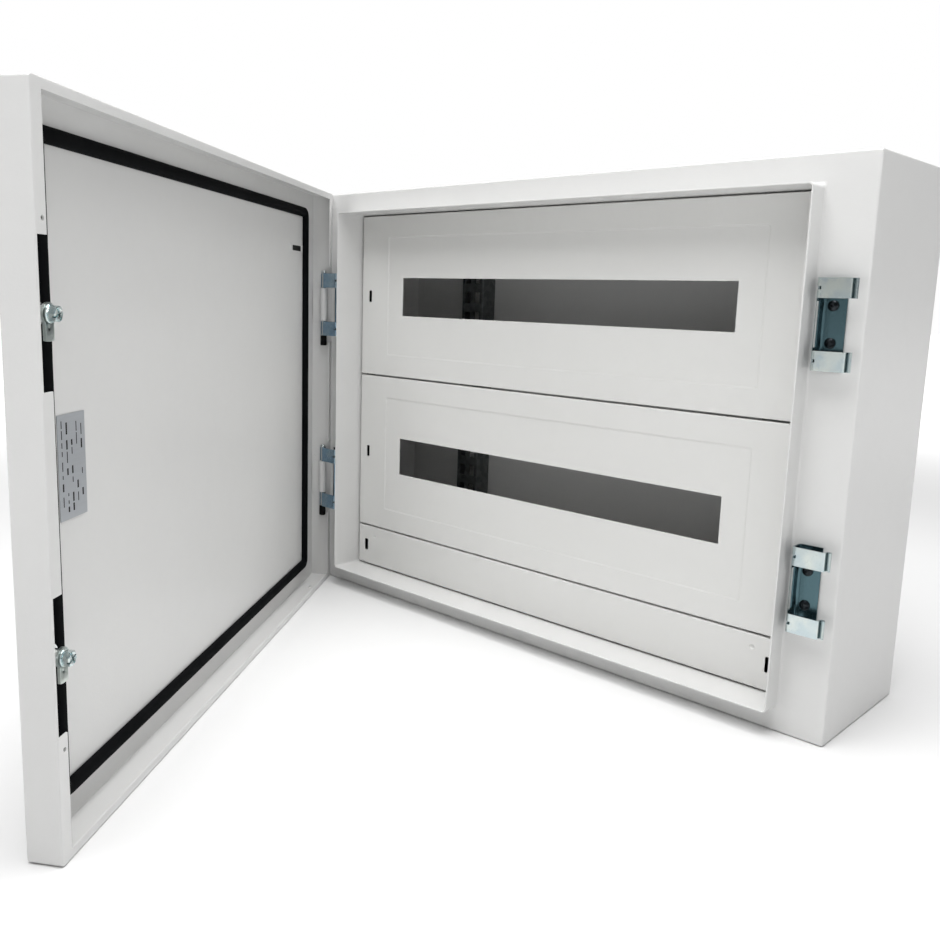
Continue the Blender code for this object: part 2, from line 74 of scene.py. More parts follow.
doorHinge = next(joint for joint in frame["joints"] if joint["name"] == "door_hinge")
hingePoint = Vector(doorHinge["pos_m"])
restOpening = math.radians(55)
doorTurn = (Matrix.Translation(hingePoint) @ Matrix.Rotation(-restOpening, 4, "Z")
            @ Matrix.Translation(-hingePoint))  # takes a piece drawn on the shut door to where it stands

facingOut = Matrix.Rotation(math.pi / 2, 4, "X")  # a piece that stands on Z then points out of the wall
facingIn = Matrix.Rotation(-math.pi / 2, 4, "X")  # or at the wall

workshop = bpy.data.collections.new("workshop")  # cutters and patterns, emptied at the end
bpy.context.scene.collection.children.link(workshop)


def inMetres(sizes):  # dictionaries below give lengths in millimetres
    if isinstance(sizes, dict):
        return {word: inMetres(size) for word, size in sizes.items()}
    return tuple(inMetres(size) for size in sizes) if isinstance(sizes, tuple) else sizes * mm


# mesh helpers
def objectFrom(shape, name, finish=None, helper=False):
    mesh = bpy.data.meshes.new(name)
    shape.to_mesh(mesh)
    shape.free()
    made = bpy.data.objects.new(name, mesh)
    (workshop if helper else bpy.context.scene.collection).objects.link(made)
    if finish:
        mesh.materials.append(finish)
    return made


def smoothed(mesh, angle=32):
    mesh.shade_smooth()
    mesh.set_sharp_from_angle(angle=math.radians(angle))


def evaluated(piece):
    bpy.context.view_layer.update()
    seen = piece.evaluated_get(bpy.context.evaluated_depsgraph_get())
    mesh = bpy.data.meshes.new_from_object(seen)
    piece.modifiers.clear()
    piece.data = mesh
    return piece


def settled(piece, angle=32):  # modifiers become plain mesh, with even shading
    if piece.modifiers:
        evaluated(piece)
    smoothed(piece.data, angle)
    even = piece.modifiers.new("even", "WEIGHTED_NORMAL")
    even.keep_sharp = True
    return evaluated(piece)


def bevelled(piece, width, segments=2, angle=40):
    edge = piece.modifiers.new("edge", "BEVEL")
    edge.width = width
    edge.segments = segments
    edge.limit_method = "ANGLE"
    edge.angle_limit = math.radians(angle)
    edge.use_clamp_overlap = True
    return piece


def carved(piece, *cutters, operation="DIFFERENCE"):
    for cutter in cutters:
        step = piece.modifiers.new("carve", "BOOLEAN")
        step.operation = operation
        step.object = cutter
    return piece


def block(low, high, rounding=0, along=None, name="cutter", finish=None, segments=3):
    shape = bmesh.new()
    bmesh.ops.create_cube(shape, size=1)
    for corner in shape.verts:
        corner.co = [low[i] + (corner.co[i] + 0.5) * (high[i] - low[i]) for i in range(3)]
    if rounding:
        edges = [e for e in shape.edges if along is None
                 or abs((e.verts[0].co - e.verts[1].co).normalized()[along]) > 0.9]
        bmesh.ops.bevel(shape, geom=edges, offset=rounding, segments=segments, profile=0.5, affect="EDGES")
    return objectFrom(shape, name, finish, helper=finish is None)


def rod(place, radius, start, end, sides=32, axis="Y", name="cutter", finish=None):
    shape = bmesh.new()
    bmesh.ops.create_cone(shape, cap_ends=True, segments=sides, radius1=radius, radius2=radius,
                          depth=end - start)
    middle = (start + end) / 2
    if axis == "Y":
        shape.transform(Matrix.Translation((place[0], middle, place[1])) @ facingOut)
    else:
        shape.transform(Matrix.Translation((place[0], place[1], middle)))
    return objectFrom(shape, name, finish, helper=finish is None)


def softened(points, closed=False, steps=4):
    # points are (values, rounding): each corner becomes a small arc through all its values
    def toward(here, there, reach):
        return [a + max(-reach, min(reach, b - a)) for a, b in zip(here, there)]

    outline = []
    for i, (here, reach) in enumerate(points):
        if reach <= 0 or (not closed and i in (0, len(points) - 1)):
            outline.append(list(here))
            continue
        near = toward(here, points[i - 1][0], reach)
        far = toward(here, points[(i + 1) % len(points)][0], reach)
        for k in range(steps + 1):
            t = k / steps
            outline.append([a * (1 - t) ** 2 + 2 * b * t * (1 - t) + c * t * t
                            for a, b, c in zip(near, here, far)])
    return outline


def roundedLoop(box, insets, y, radius, steps=4, spans=(1, 1)):
    # corner points of a rounded rectangle at depth y, the same number for every loop
    left, right = box[0] + insets[0], box[1] - insets[0]
    low, high = box[2] + insets[1], box[3] - insets[2]
    radius = max(radius, 0.00008)
    corners = [(right - radius, high - radius, 0), (left + radius, high - radius, 1),
               (left + radius, low + radius, 2), (right - radius, low + radius, 3)]
    loop = []
    for i, (x, z, quarter) in enumerate(corners):
        for k in range(steps + 1):
            turn = math.pi / 2 * (quarter + k / steps)
            loop.append(Vector((x + radius * math.cos(turn), y, z + radius * math.sin(turn))))
        after = corners[(i + 1) % 4]
        turn = math.pi / 2 * (quarter + 1)
        start = loop[-1]
        finish = Vector((after[0] + radius * math.cos(turn), y, after[1] + radius * math.sin(turn)))
        count = spans[quarter % 2]
        loop.extend(start.lerp(finish, k / count) for k in range(1, count))
    return loop


def sweptRing(name, box, profile, finish, closed=False, steps=4, spans=(1, 1)):
    # a sheet section carried round a rectangle: profile is a list of (side, low, high inset, y, corner)
    shape = bmesh.new()
    rings = [[shape.verts.new(p) for p in roundedLoop(box, row[:3], row[3], row[4], steps, spans)]
             for row in profile]
    pairs = list(zip(rings, rings[1:]))
    if closed:
        pairs.append((rings[-1], rings[0]))
    for first, second in pairs:
        for i in range(len(first)):
            j = (i + 1) % len(first)
            shape.faces.new((first[i], first[j], second[j], second[i]))
    if not closed:
        shape.faces.new(rings[0])
        shape.faces.new(rings[-1])
    bmesh.ops.recalc_face_normals(shape, faces=shape.faces)
    return objectFrom(shape, name, finish)


def turned(name, outline, finish, sides=48):
    # outline is (radius, height) from the bottom of the axis to its top; the result stands on Z
    shape = bmesh.new()
    points = [shape.verts.new((r, 0, h)) for r, h in outline]
    for first, second in zip(points, points[1:]):
        shape.edges.new((first, second))
    bmesh.ops.spin(shape, geom=shape.verts[:] + shape.edges[:], cent=(0, 0, 0), axis=(0, 0, 1),
                   angle=2 * math.pi, steps=sides, use_merge=True)
    bmesh.ops.remove_doubles(shape, verts=shape.verts, dist=0.000004)
    bmesh.ops.recalc_face_normals(shape, faces=shape.faces)
    return objectFrom(shape, name, finish, helper=finish is None)


def closeTurned(piece):  # a ring section joins its last circle to its first
    shape = bmesh.new()
    shape.from_mesh(piece.data)
    loose = [e for e in shape.edges if e.is_boundary]
    if loose:
        bmesh.ops.bridge_loops(shape, edges=loose)
    bmesh.ops.recalc_face_normals(shape, faces=shape.faces)
    shape.to_mesh(piece.data)
    shape.free()


def placed(piece, matrix):
    piece.data.transform(matrix)
    piece.data.update()
    return piece


def onBody(piece, body, nodes, turn=None):
    if turn:
        placed(piece, turn)
    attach(piece, body)
    if nodes:
        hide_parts(*nodes)
    return piece


# shader groups
def newGroup(name, inputs, outputs, kind="ShaderNodeTree"):
    group = bpy.data.node_groups.new(name, kind)
    for title, form, value in inputs:
        socket = group.interface.new_socket(title, in_out="INPUT", socket_type="NodeSocket" + form)
        if value is not None:
            socket.default_value = value
    for title, form in outputs:
        group.interface.new_socket(title, in_out="OUTPUT", socket_type="NodeSocket" + form)
    return group, group.nodes.new("NodeGroupInput"), group.nodes.new("NodeGroupOutput")


def wired(tree, node, sockets):  # a socket goes by its name, or by i and its number
    for key, value in sockets.items():
        socket = node.inputs[int(key[1:])] if key[0] == "i" and key[1:].isdigit() else node.inputs[key]
        if isinstance(value, bpy.types.NodeSocket):
            tree.links.new(value, socket)
        else:
            socket.default_value = value
    return node


def addNode(tree, kind, settings=None, **sockets):
    node = tree.nodes.new(kind)
    for key, value in (settings or {}).items():
        setattr(node, key, value)
    return wired(tree, node, sockets)


def reckoned(tree, operation, first, second, third=0.5):
    return addNode(tree, "ShaderNodeMath", {"operation": operation}, i0=first, i1=second, i2=third).outputs[0]


def noiseAt(tree, where, scale, detail=2.0, roughness=0.5):
    made = addNode(tree, "ShaderNodeTexNoise", None, Vector=where, Scale=scale, Detail=detail,
                   Roughness=roughness)
    return made.outputs["Fac"]


def rampOf(tree, value, stops):
    node = tree.nodes.new("ShaderNodeValToRGB")
    elements = node.color_ramp.elements
    while len(elements) < len(stops):
        elements.new(0.5)
    for element, (place, colour) in zip(elements, stops):
        element.position = place
        element.color = (*colour, 1)
    tree.links.new(value, node.inputs["Fac"])
    return node.outputs["Color"]


def blendColours(tree, amount, *colours):
    first, second = ((*c, 1) if isinstance(c, tuple) else c for c in colours)
    return addNode(tree, "ShaderNodeMix", {"data_type": "RGBA"}, i0=amount, i6=first, i7=second).outputs[2]


def makePeelGroup():  # skin of sprayed and baked powder
    group, given, result = newGroup("orangePeel", [
        ("Vector", "Vector", None), ("Scale", "Float", 420.0),
        ("Patchiness", "Float", 0.5)],
        [("Height", "Float"), ("Mottle", "Float")])
    where, scale = given.outputs["Vector"], given.outputs["Scale"]
    coarse = noiseAt(group, where, scale, 1.0, 0.4)
    fine = noiseAt(group, where, reckoned(group, "MULTIPLY", scale, 2.7), 1.0, 0.4)
    patches = noiseAt(group, where, 9.0, 2.0, 0.55)
    height = reckoned(group, "ADD", coarse, reckoned(group, "MULTIPLY", fine, 0.35))
    uneven = reckoned(group, "MULTIPLY_ADD", patches, given.outputs["Patchiness"], 0.6)
    group.links.new(reckoned(group, "MULTIPLY", height, uneven), result.inputs["Height"])
    group.links.new(patches, result.inputs["Mottle"])
    return group


def makeBloomGroup():  # drifting colour of a passivated plating
    group, given, result = newGroup("platingBloom", [
        ("Vector", "Vector", None), ("Scale", "Float", 60.0),
        ("Cool", "Color", (0.4, 0.5, 0.6, 1)), ("Warm", "Color", (0.6, 0.65, 0.6, 1)),
        ("Stain", "Color", (0.3, 0.4, 0.5, 1))],
        [("Colour", "Color"), ("Roughness", "Float"), ("Height", "Float")])
    where, scale = given.outputs["Vector"], given.outputs["Scale"]
    drift = noiseAt(group, where, scale, 2.0, 0.5)
    grain = noiseAt(group, where, reckoned(group, "MULTIPLY", scale, 22.0), 3.0, 0.6)
    spots = noiseAt(group, where, reckoned(group, "MULTIPLY", scale, 3.1), 3.0, 0.6)
    driftMask = rampOf(group, drift, [(0.36, (0, 0, 0)), (0.64, (1, 1, 1))])
    spotMask = rampOf(group, spots, [(0.55, (0, 0, 0)), (0.72, (0.55, 0.55, 0.55))])
    base = blendColours(group, driftMask, given.outputs["Cool"], given.outputs["Warm"])
    group.links.new(blendColours(group, spotMask, base, given.outputs["Stain"]), result.inputs["Colour"])
    group.links.new(reckoned(group, "MULTIPLY_ADD", grain, 0.16, 0.12), result.inputs["Roughness"])
    group.links.new(grain, result.inputs["Height"])
    return group


def makeDustGroup():  # faint handling marks and settled dust, lighter or darker
    group, given, result = newGroup("handlingMarks", [
        ("Vector", "Vector", None), ("Scale", "Float", 14.0),
        ("Amount", "Float", 0.3)], [("Mask", "Float")])
    where, scale = given.outputs["Vector"], given.outputs["Scale"]
    broad = noiseAt(group, where, scale, 4.0, 0.6)
    fine = noiseAt(group, where, reckoned(group, "MULTIPLY", scale, 9.0), 3.0, 0.7)
    product = reckoned(group, "MULTIPLY", broad, fine)
    spread = rampOf(group, product, [(0.18, (0, 0, 0)), (0.42, (1, 1, 1))])
    group.links.new(reckoned(group, "MULTIPLY", spread, given.outputs["Amount"]), result.inputs["Mask"])
    return group


groups = {"peel": makePeelGroup(), "bloom": makeBloomGroup(), "dust": makeDustGroup()}


def newMaterial(name, roughness, metallic=0.0, specular=0.5, coat=0.0, coatRoughness=0.1):
    made = bpy.data.materials.new(name)
    made.use_nodes = True
    tree = made.node_tree
    shader = tree.nodes["Principled BSDF"]
    shader.inputs["Roughness"].default_value = roughness
    shader.inputs["Metallic"].default_value = metallic
    shader.inputs["Specular IOR Level"].default_value = specular
    shader.inputs["Coat Weight"].default_value = coat
    shader.inputs["Coat Roughness"].default_value = coatRoughness
    where = tree.nodes.new("ShaderNodeTexCoord").outputs["Object"]
    return made, tree, where


def useGroup(tree, which, **sockets):
    node = tree.nodes.new("ShaderNodeGroup")
    node.node_tree = groups[which]
    return wired(tree, node, sockets)


def finished(made, colour, rough, height, strength, distance):
    tree = made.node_tree
    bump = addNode(tree, "ShaderNodeBump", None, Height=height, Strength=strength, Distance=distance)
    shader = tree.nodes["Principled BSDF"]
    for value, socket in ((colour, "Base Color"), (rough, "Roughness"), (bump.outputs["Normal"], "Normal")):
        if value is not None:
            tree.links.new(value, shader.inputs[socket])
    return made


def powderCoat(name, colour, warm, peelScale, peelDepth, roughness, marks):
    made, tree, where = newMaterial(name, roughness, specular=0.5, coat=0.12, coatRoughness=0.22)
    peel = useGroup(tree, "peel", Vector=where, Scale=peelScale, Patchiness=0.8)
    dust = useGroup(tree, "dust", Vector=where, Scale=7.0, Amount=marks)
    base = blendColours(tree, peel.outputs["Mottle"], colour, warm)
    worn = blendColours(tree, dust.outputs["Mask"], base, tuple(c * 0.86 for c in colour))
    rough = reckoned(tree, "MULTIPLY_ADD", peel.outputs["Mottle"], 0.14, roughness - 0.07)
    return finished(made, worn, rough, peel.outputs["Height"], 0.35, peelDepth)


# deep is a painted shade and dark reflection colour, laid towards the foot of a bracket
def zincPlate(name, cool, warm, stain, roughness, scale=55.0, deep=None, fade=(0.0, 1.0)):
    made, tree, where = newMaterial(name, roughness, metallic=1.0)
    bloom = useGroup(tree, "bloom", Vector=where, Scale=scale, Cool=(*cool, 1), Warm=(*warm, 1),
                     Stain=(*stain, 1))
    colour = bloom.outputs["Colour"]
    if deep:  # painted shade and dark reflection: the colour turns to this dark tone towards the foot of a bracket, near the flange
        depth = addNode(tree, "ShaderNodeSeparateXYZ", None, Vector=where).outputs["Y"]
        reach = addNode(tree, "ShaderNodeMapRange", None, i0=depth, i1=fade[0], i2=fade[1]).outputs[0]
        colour = blendColours(tree, reach, colour, deep)
    rough = reckoned(tree, "ADD", bloom.outputs["Roughness"], roughness - 0.2)
    return finished(made, colour, rough, bloom.outputs["Height"], 0.25, 0.00004)


def galvanised(name, dark, light):  # spangled hot-dip zinc, dulled
    made, tree, where = newMaterial(name, 0.5, metallic=0.75)
    cells = addNode(tree, "ShaderNodeTexVoronoi", None, Vector=where, Scale=210.0)
    grain = noiseAt(tree, where, 900.0, 3.0, 0.6)
    shade = addNode(tree, "ShaderNodeSeparateColor", None, Color=cells.outputs["Color"]).outputs[0]
    rough = reckoned(tree, "MULTIPLY_ADD", shade, 0.22, 0.38)
    return finished(made, blendColours(tree, shade, dark, light), rough, grain, 0.3, 0.00004)


def foamRubber(name, colour):
    made, tree, where = newMaterial(name, 0.8, specular=0.07)
    pores = addNode(tree, "ShaderNodeTexVoronoi", {"feature": "SMOOTH_F1"}, Vector=where, Scale=1500.0)
    lumps = noiseAt(tree, where, 260.0, 3.0, 0.6)
    dust = useGroup(tree, "dust", Vector=where, Scale=30.0, Amount=0.5)
    grey = tuple(c * 2.2 for c in colour)
    height = reckoned(tree, "ADD", lumps, reckoned(tree, "MULTIPLY", pores.outputs["Distance"], 0.6))
    return finished(made, blendColours(tree, dust.outputs["Mask"], colour, grey), None, height, 0.4, 0.0002)


def mouldedPlastic(name, colour, roughness):
    made, tree, where = newMaterial(name, roughness, specular=0.12)
    grain = noiseAt(tree, where, 1700.0, 2.0, 0.5)
    dust = useGroup(tree, "dust", Vector=where, Scale=40.0, Amount=0.35)
    pale = tuple(min(1, c * 1.9 + 0.004) for c in colour)
    rough = reckoned(tree, "MULTIPLY_ADD", grain, 0.2, roughness - 0.1)
    return finished(made, blendColours(tree, dust.outputs["Mask"], colour, pale), rough, grain, 0.25, 0.00005)


def drawnBrass(name, colour, tarnish):
    made, tree, where = newMaterial(name, 0.3, metallic=1.0)
    stretch = addNode(tree, "ShaderNodeMapping", None, Vector=where, Scale=(6, 900, 900))
    lines = noiseAt(tree, stretch.outputs["Vector"], 1.0)
    dust = useGroup(tree, "dust", Vector=where, Scale=50.0, Amount=0.7)
    rough = reckoned(tree, "MULTIPLY_ADD", lines, 0.25, 0.18)
    base = blendColours(tree, dust.outputs["Mask"], colour, tarnish)
    return finished(made, base, rough, lines, 0.2, 0.00003)


def printedFoil(name, colour):
    made, tree, where = newMaterial(name, 0.35, metallic=0.6)
    stretch = addNode(tree, "ShaderNodeMapping", None, Vector=where, Scale=(30, 30, 1600))
    lines = noiseAt(tree, stretch.outputs["Vector"], 1.0)
    shine = blendColours(tree, lines, colour, tuple(c * 1.18 for c in colour))
    return finished(made, shine, reckoned(tree, "MULTIPLY_ADD", lines, 0.2, 0.28), lines, 0.1, 0.00002)


coat = powderCoat("cabinetCoat", (0.70, 0.70, 0.695), (0.72, 0.72, 0.71), 620.0, 0.00016, 0.40, 0.10)
coverCoat = powderCoat("coverCoat", (0.715, 0.715, 0.70), (0.735, 0.735, 0.72), 700.0, 0.00008, 0.42, 0.07)
# span ahead of the flange over which the painted shade and dark reflection come in at each bracket foot
bracketShadeRange = (flange - 15.9 * mm, flange - 9.0 * mm)
# each plating has a cool, a warm and a stained tone, a roughness, a scale of bloom and a painted dark shade
# and reflection tone for its foot
zinc = zincPlate("blueZinc", (0.26, 0.40, 0.54), (0.40, 0.52, 0.60), (0.20, 0.32, 0.46), 0.26, 55.0,
                 (0.10, 0.16, 0.20), bracketShadeRange)
keeperZinc = zincPlate("keeperZinc", (0.52, 0.60, 0.62), (0.64, 0.69, 0.66), (0.42, 0.52, 0.58), 0.25, 70.0,
                       (0.085, 0.145, 0.165), bracketShadeRange)
tongueZinc = zincPlate("tongueZinc", (0.52, 0.58, 0.57), (0.60, 0.64, 0.61), (0.40, 0.50, 0.50), 0.30, 60.0)
zincBright = zincPlate("brightZinc", (0.62, 0.68, 0.70), (0.72, 0.75, 0.73), (0.48, 0.55, 0.58), 0.24, 90.0)
boltZinc = zincPlate("boltZinc", (0.50, 0.62, 0.65), (0.74, 0.80, 0.78), (0.05, 0.09, 0.10), 0.20, 330.0)
darkScrew = zincPlate("darkScrewSteel", (0.014, 0.016, 0.019), (0.04, 0.046, 0.05), (0.01, 0.012, 0.014),
                      0.27, 300.0)
darkSteel = galvanised("darkGalvanised", (0.13, 0.14, 0.14), (0.22, 0.235, 0.235))
foam = foamRubber("sealFoam", (0.0022, 0.0025, 0.003))
blackPlastic = mouldedPlastic("blackPlastic", (0.0018, 0.0018, 0.002), 0.5)
greyPlastic = mouldedPlastic("greyPlastic", (0.22, 0.23, 0.24), 0.5)
brass = drawnBrass("drawnBrass", (0.74, 0.53, 0.22), (0.42, 0.27, 0.10))
foil = printedFoil("labelFoil", (0.44, 0.46, 0.49))
ink = mouldedPlastic("labelInk", (0.02, 0.02, 0.022), 0.55)
print("materials made")


# cabinet
cabinet = inMetres({"edge": 2.2, "corner": 1.8, "fillet": 2.6, "collarInsets": (42, 22.5, 24.5),
                    "collarReachBack": 32, "collarCorner": 4, "collarEdge": 0.45, "wallHoles": (275, 190),
                    "wallHoleRadius": 4.25, "glandOpening": (150, 45, 90)})
cabinetBox = (shellLow.x, shellHigh.x, shellLow.z, shellHigh.z)


def inset(row, depth, corner, by=0.0):
    return [row[0] + by, row[1] + by, row[2] + by, depth, corner]


def makeShell():
    spec = cabinet
    flat, collarAt = (0, 0, 0), spec["collarInsets"]
    deep = (60 * mm,) * 3
    inner = spec["collarCorner"] - sheet
    front, rear = flange - collarHeight, flange + spec["collarReachBack"]
    profile = softened([
        (inset(deep, 0, mm), 0),
        (inset(flat, 0, spec["corner"]), spec["edge"]),
        (inset(flat, flange, spec["corner"]), spec["edge"]),
        (inset(collarAt, flange, spec["collarCorner"]), spec["fillet"]),
        (inset(collarAt, front, spec["collarCorner"]), spec["collarEdge"]),
        (inset(collarAt, front, inner, sheet), spec["collarEdge"]),
        (inset(collarAt, rear, inner, sheet), 0.3 * mm),
        (inset(collarAt, rear, spec["collarCorner"]), 0.3 * mm),
        (inset(collarAt, flange + sheet, spec["collarCorner"]), 1.2 * mm),
        (inset(flat, flange + sheet, mm, sheet), 1.0 * mm),
        (inset(flat, -sheet, mm, sheet), 1.0 * mm),
        (inset(deep, -sheet, mm), 0)])
    shell = sweptRing("cabinetShell", cabinetBox, profile, coat, steps=5)
    acrossHole, upHole = spec["wallHoles"]
    for x in (-acrossHole, acrossHole):
        for z in (-upHole, upHole):
            carved(shell, rod((x, z), spec["wallHoleRadius"], -10 * mm, 10 * mm))
    half, near, long = spec["glandOpening"]
    carved(shell, block((-half, flange + near, shellLow.z - 10 * mm),
                        (half, flange + near + long, shellLow.z + 10 * mm), 6 * mm, along=2, segments=6))
    return settled(shell)


onBody(makeShell(), "cabinet", ["cabinet_shell"])
print("cabinet shell made")


# door, drawn shut and then turned open
door = inMetres({"gap": 3.5, "depth": 26.5, "bend": 3.0, "corner": 2.8, "lip": (12.1, 7, 7), "lipBend": 1.3,
                 "cutout": 93, "lockInset": 21.5, "lockHole": 8.9, "lipHoles": (-79.5, 79),
                 "plug": (-257, 176.7, 17.5, 3.2), "plugRim": (5, 1.3, 1.2)})
lipFace = flange - door["gap"]
doorFace = lipFace - door["depth"]
doorPanel = doorFace + sheet
lockX = shellHigh.x - door["lockInset"]


def makeDoorPan():
    spec = door
    flat, lip, deep = (0, 0, 0), spec["lip"], (80 * mm,) * 3
    profile = softened([
        (inset(deep, doorFace, mm), 0),
        (inset(flat, doorFace, spec["corner"]), spec["bend"]),
        (inset(flat, lipFace, spec["corner"]), spec["lipBend"]),
        (inset(lip, lipFace, 0.5 * mm), 0.35 * mm),
        (inset(lip, lipFace - sheet, 0.5 * mm), 0.35 * mm),
        (inset(flat, lipFace - sheet, mm, sheet), 0.5 * mm),
        (inset(flat, doorPanel, mm, sheet), 1.0 * mm),
        (inset(deep, doorPanel, mm), 0)], steps=5)
    pan = sweptRing("doorPan", cabinetBox, profile, coat, steps=5)
    cutters = []
    half, reach = spec["cutout"] / 2, 20 * mm
    for level in levels.values():
        for edge, way in ((shellLow.x + sheet, 1), (shellHigh.x - sheet, -1)):
            ends = sorted((edge, edge + way * reach))
            cutters.append(block((ends[0], lipFace - 3 * mm, level - half),
                                 (ends[1], lipFace + 3 * mm, level + half)))
        cutters.append(rod((lockX, level), spec["lockHole"], doorFace - 5 * mm, doorPanel + 5 * mm, 40))
    for offset in spec["lipHoles"]:
        z = shellHigh.z + offset if offset < 0 else shellLow.z + offset
        cutters.append(rod((shellHigh.x - 8.0 * mm, z), 1.8 * mm, lipFace - 4 * mm, lipFace + 4 * mm, 20))
    cutters.append(block((shellLow.x + 52 * mm, lipFace - 12 * mm, shellLow.z - 5 * mm),
                         (shellLow.x + 62 * mm, lipFace - 9 * mm, shellLow.z + 5 * mm), 1.2 * mm, along=2))
    carved(pan, *cutters)
    return settled(pan)


onBody(makeDoorPan(), "door", ["door_pan"], doorTurn)
print("door pan made")


seal = inMetres({"width": 11, "overhang": 5.5, "below": 0.5, "above": 4.5, "corner": 13, "wobble": 0.35})
seal.update({"fullness": 2.6, "points": 14, "spans": (64, 48), "seed": 5})


def makeSeal():  # foamed in place, so its bead is soft and a little uneven
    spec = seal
    side, low, high = cabinet["collarInsets"]
    box = (shellLow.x + side - spec["overhang"], shellHigh.x - side + spec["overhang"],
           shellLow.z + low - spec["below"], shellHigh.z - high + spec["above"])
    foot, top = doorPanel + 0.3 * mm, flange - collarHeight - 0.3 * mm
    half = spec["width"] / 2
    profile = []
    for i in range(spec["points"] + 1):
        turn = math.pi * i / spec["points"]
        cosine, sine = math.cos(turn), math.sin(turn)
        across = half - half * math.copysign(abs(cosine) ** (2 / spec["fullness"]), cosine)
        height = abs(sine) ** (2 / spec["fullness"])
        corner = max(spec["corner"] - across, 2 * mm)
        profile.append([across, across, across, foot + (top - foot) * height, corner])
    bead = sweptRing("doorSeal", box, profile, foam, closed=True, steps=8, spans=spec["spans"])
    noise.seed_set(spec["seed"])  # without this the noise starts from the clock
    for point in bead.data.vertices:
        lift = (point.co.y - foot) / (top - foot)
        if lift < 0.05:
            continue
        push = noise.noise_vector(point.co * 28) * 0.7 + noise.noise_vector(point.co * 90) * 0.3
        point.co += Vector((push.x, min(0, -abs(push.y)), push.z)) * spec["wobble"] * lift
    return settled(bead, angle=50)


onBody(makeSeal(), "door", ["door_gasket"], doorTurn)
print("seal made")


# inner covers
coverSpec = inMetres({"thickness": 1.2, "rimBend": 1.3, "panelInsets": (46, 25.25), "panelDrop": 0.5,
                      "panelSlope": 1.1, "windowHalf": (212.5, 22.5), "slotInset": 14.6, "slot": (2.6, 7),
                      "dimple": (30.5, 12.8, 2.3, 1.1), "blankReach": 18})


def makeCover(node, windowed, slots):
    spec = coverSpec
    low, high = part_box(node)
    face, back, wall = low.y, high.y, spec["thickness"]
    box = (low.x, high.x, low.z, high.z)
    flat, deep = (0, 0, 0), (spec["blankReach"],) * 3
    middle = (low.z + high.z) / 2
    rimOutside = (inset(flat, back, wall), 0.25 * mm)
    rimInside = (inset(flat, back, 0.4 * mm, wall), 0.2 * mm)
    bendOutside = (inset(flat, face, wall), spec["rimBend"])
    bendInside = (inset(flat, face + wall, 0.4 * mm, wall), 0.5 * mm)
    if windowed:
        side, end = spec["panelInsets"]
        panel, drop, slope = (side, end, end), spec["panelDrop"], spec["panelSlope"]
        halfWide, halfTall = spec["windowHalf"]
        beside, above = (high.x - low.x) / 2 - halfWide, (high.z - low.z) / 2 - halfTall
        window = (beside, above, above)
        rows = [rimOutside, bendOutside,
                (inset(panel, face, 3 * mm), 0.5 * mm),
                (inset(panel, face + drop, 3 * mm, slope), 0.5 * mm),
                (inset(window, face + drop, 0.5 * mm), 0.25 * mm),
                (inset(window, face + drop + wall, 0.5 * mm), 0.25 * mm),
                (inset(panel, face + drop + wall, 3 * mm, slope), 0.3 * mm),
                (inset(panel, face + wall, 3 * mm), 0.3 * mm),
                bendInside, rimInside]
    else:
        rows = [(inset(deep, face, mm), 0), bendOutside, (rimOutside[0], 0), (rimInside[0], 0), bendInside,
                (inset(deep, face + wall, mm), 0)]
    profile = softened(rows, closed=windowed, steps=3)
    cover = sweptRing(node + "Panel", box, profile, coverCoat, closed=windowed)
    halfWide, halfTall = spec["slot"]
    for way in slots:
        x = way * ((high.x - low.x) / 2 - spec["slotInset"]) + (high.x + low.x) / 2
        carved(cover, block((x - halfWide, face - 10 * mm, middle - halfTall),
                            (x + halfWide, back + 10 * mm, middle + halfTall), 1.1 * mm, along=1))
    if not windowed:  # a small pressed pip beside each slot
        across, up, radius, deep = spec["dimple"]
        for way in slots:
            x = way * ((high.x - low.x) / 2 - across) + (high.x + low.x) / 2
            bowl = [[radius * math.sin(a), -deep * math.cos(a)] for a in
                    [math.pi / 2 * i / 5 for i in range(1, 6)]]
            pip = turned("pip", [[0, -deep]] + bowl + [[radius, mm], [0, mm]], None, 24)
            carved(cover, placed(pip, Matrix.Translation((x, face, middle + up)) @ facingOut))
    bevelled(cover, 0.3 * mm, 2, 60)
    return settled(cover)


for node, windowed, slots in (("upper_cover", True, (-1,)), ("lower_cover", True, (-1,)),
                              ("blank_cover", False, (-1, 1))):
    onBody(makeCover(node, windowed, slots), node + "_unit", [node])
print("covers made")


# pressed brackets: hinge brackets on the left, lock keepers on the right
gap = 0.3 * mm
bracket = inMetres({"sheet": 1.3, "front": 16.5, "wallInset": 35, "footInset": 15, "window": 42,
                    "slot": (18.5, 8.5, 15.2), "bend": 3.2, "curlAhead": 12.5, "curlTip": 14.0,
                    "relief": (1.3, 4.2), "hingeCurl": (6.5, 3.35), "keeperCurl": (6.0, 1.8)})
pinX, pinY = shellLow.x + bracket["hingeCurl"][0], flange - bracket["curlAhead"]


def bracketOutline(middle, curl):  # (distance from the cabinet's side, distance ahead of the flange)
    spec = bracket
    half = spec["sheet"] / 2
    wall, arm = spec["wallInset"] - half, spec["front"] - half
    across, ahead = middle, spec["curlAhead"]
    outline = softened([([spec["footInset"], gap + half], 0), ([wall, gap + half], spec["bend"]),
                        ([wall, arm], spec["bend"]), ([across + curl, arm], 1.0 * mm),
                        ([across + curl, ahead + 0.6 * mm], 0)], steps=6)
    arc = 18
    outline += [[across + curl * math.cos(math.pi * i / arc), ahead - curl * math.sin(math.pi * i / arc)]
                for i in range(arc + 1)]
    outline.append([across - curl, spec["curlTip"]])
    return outline


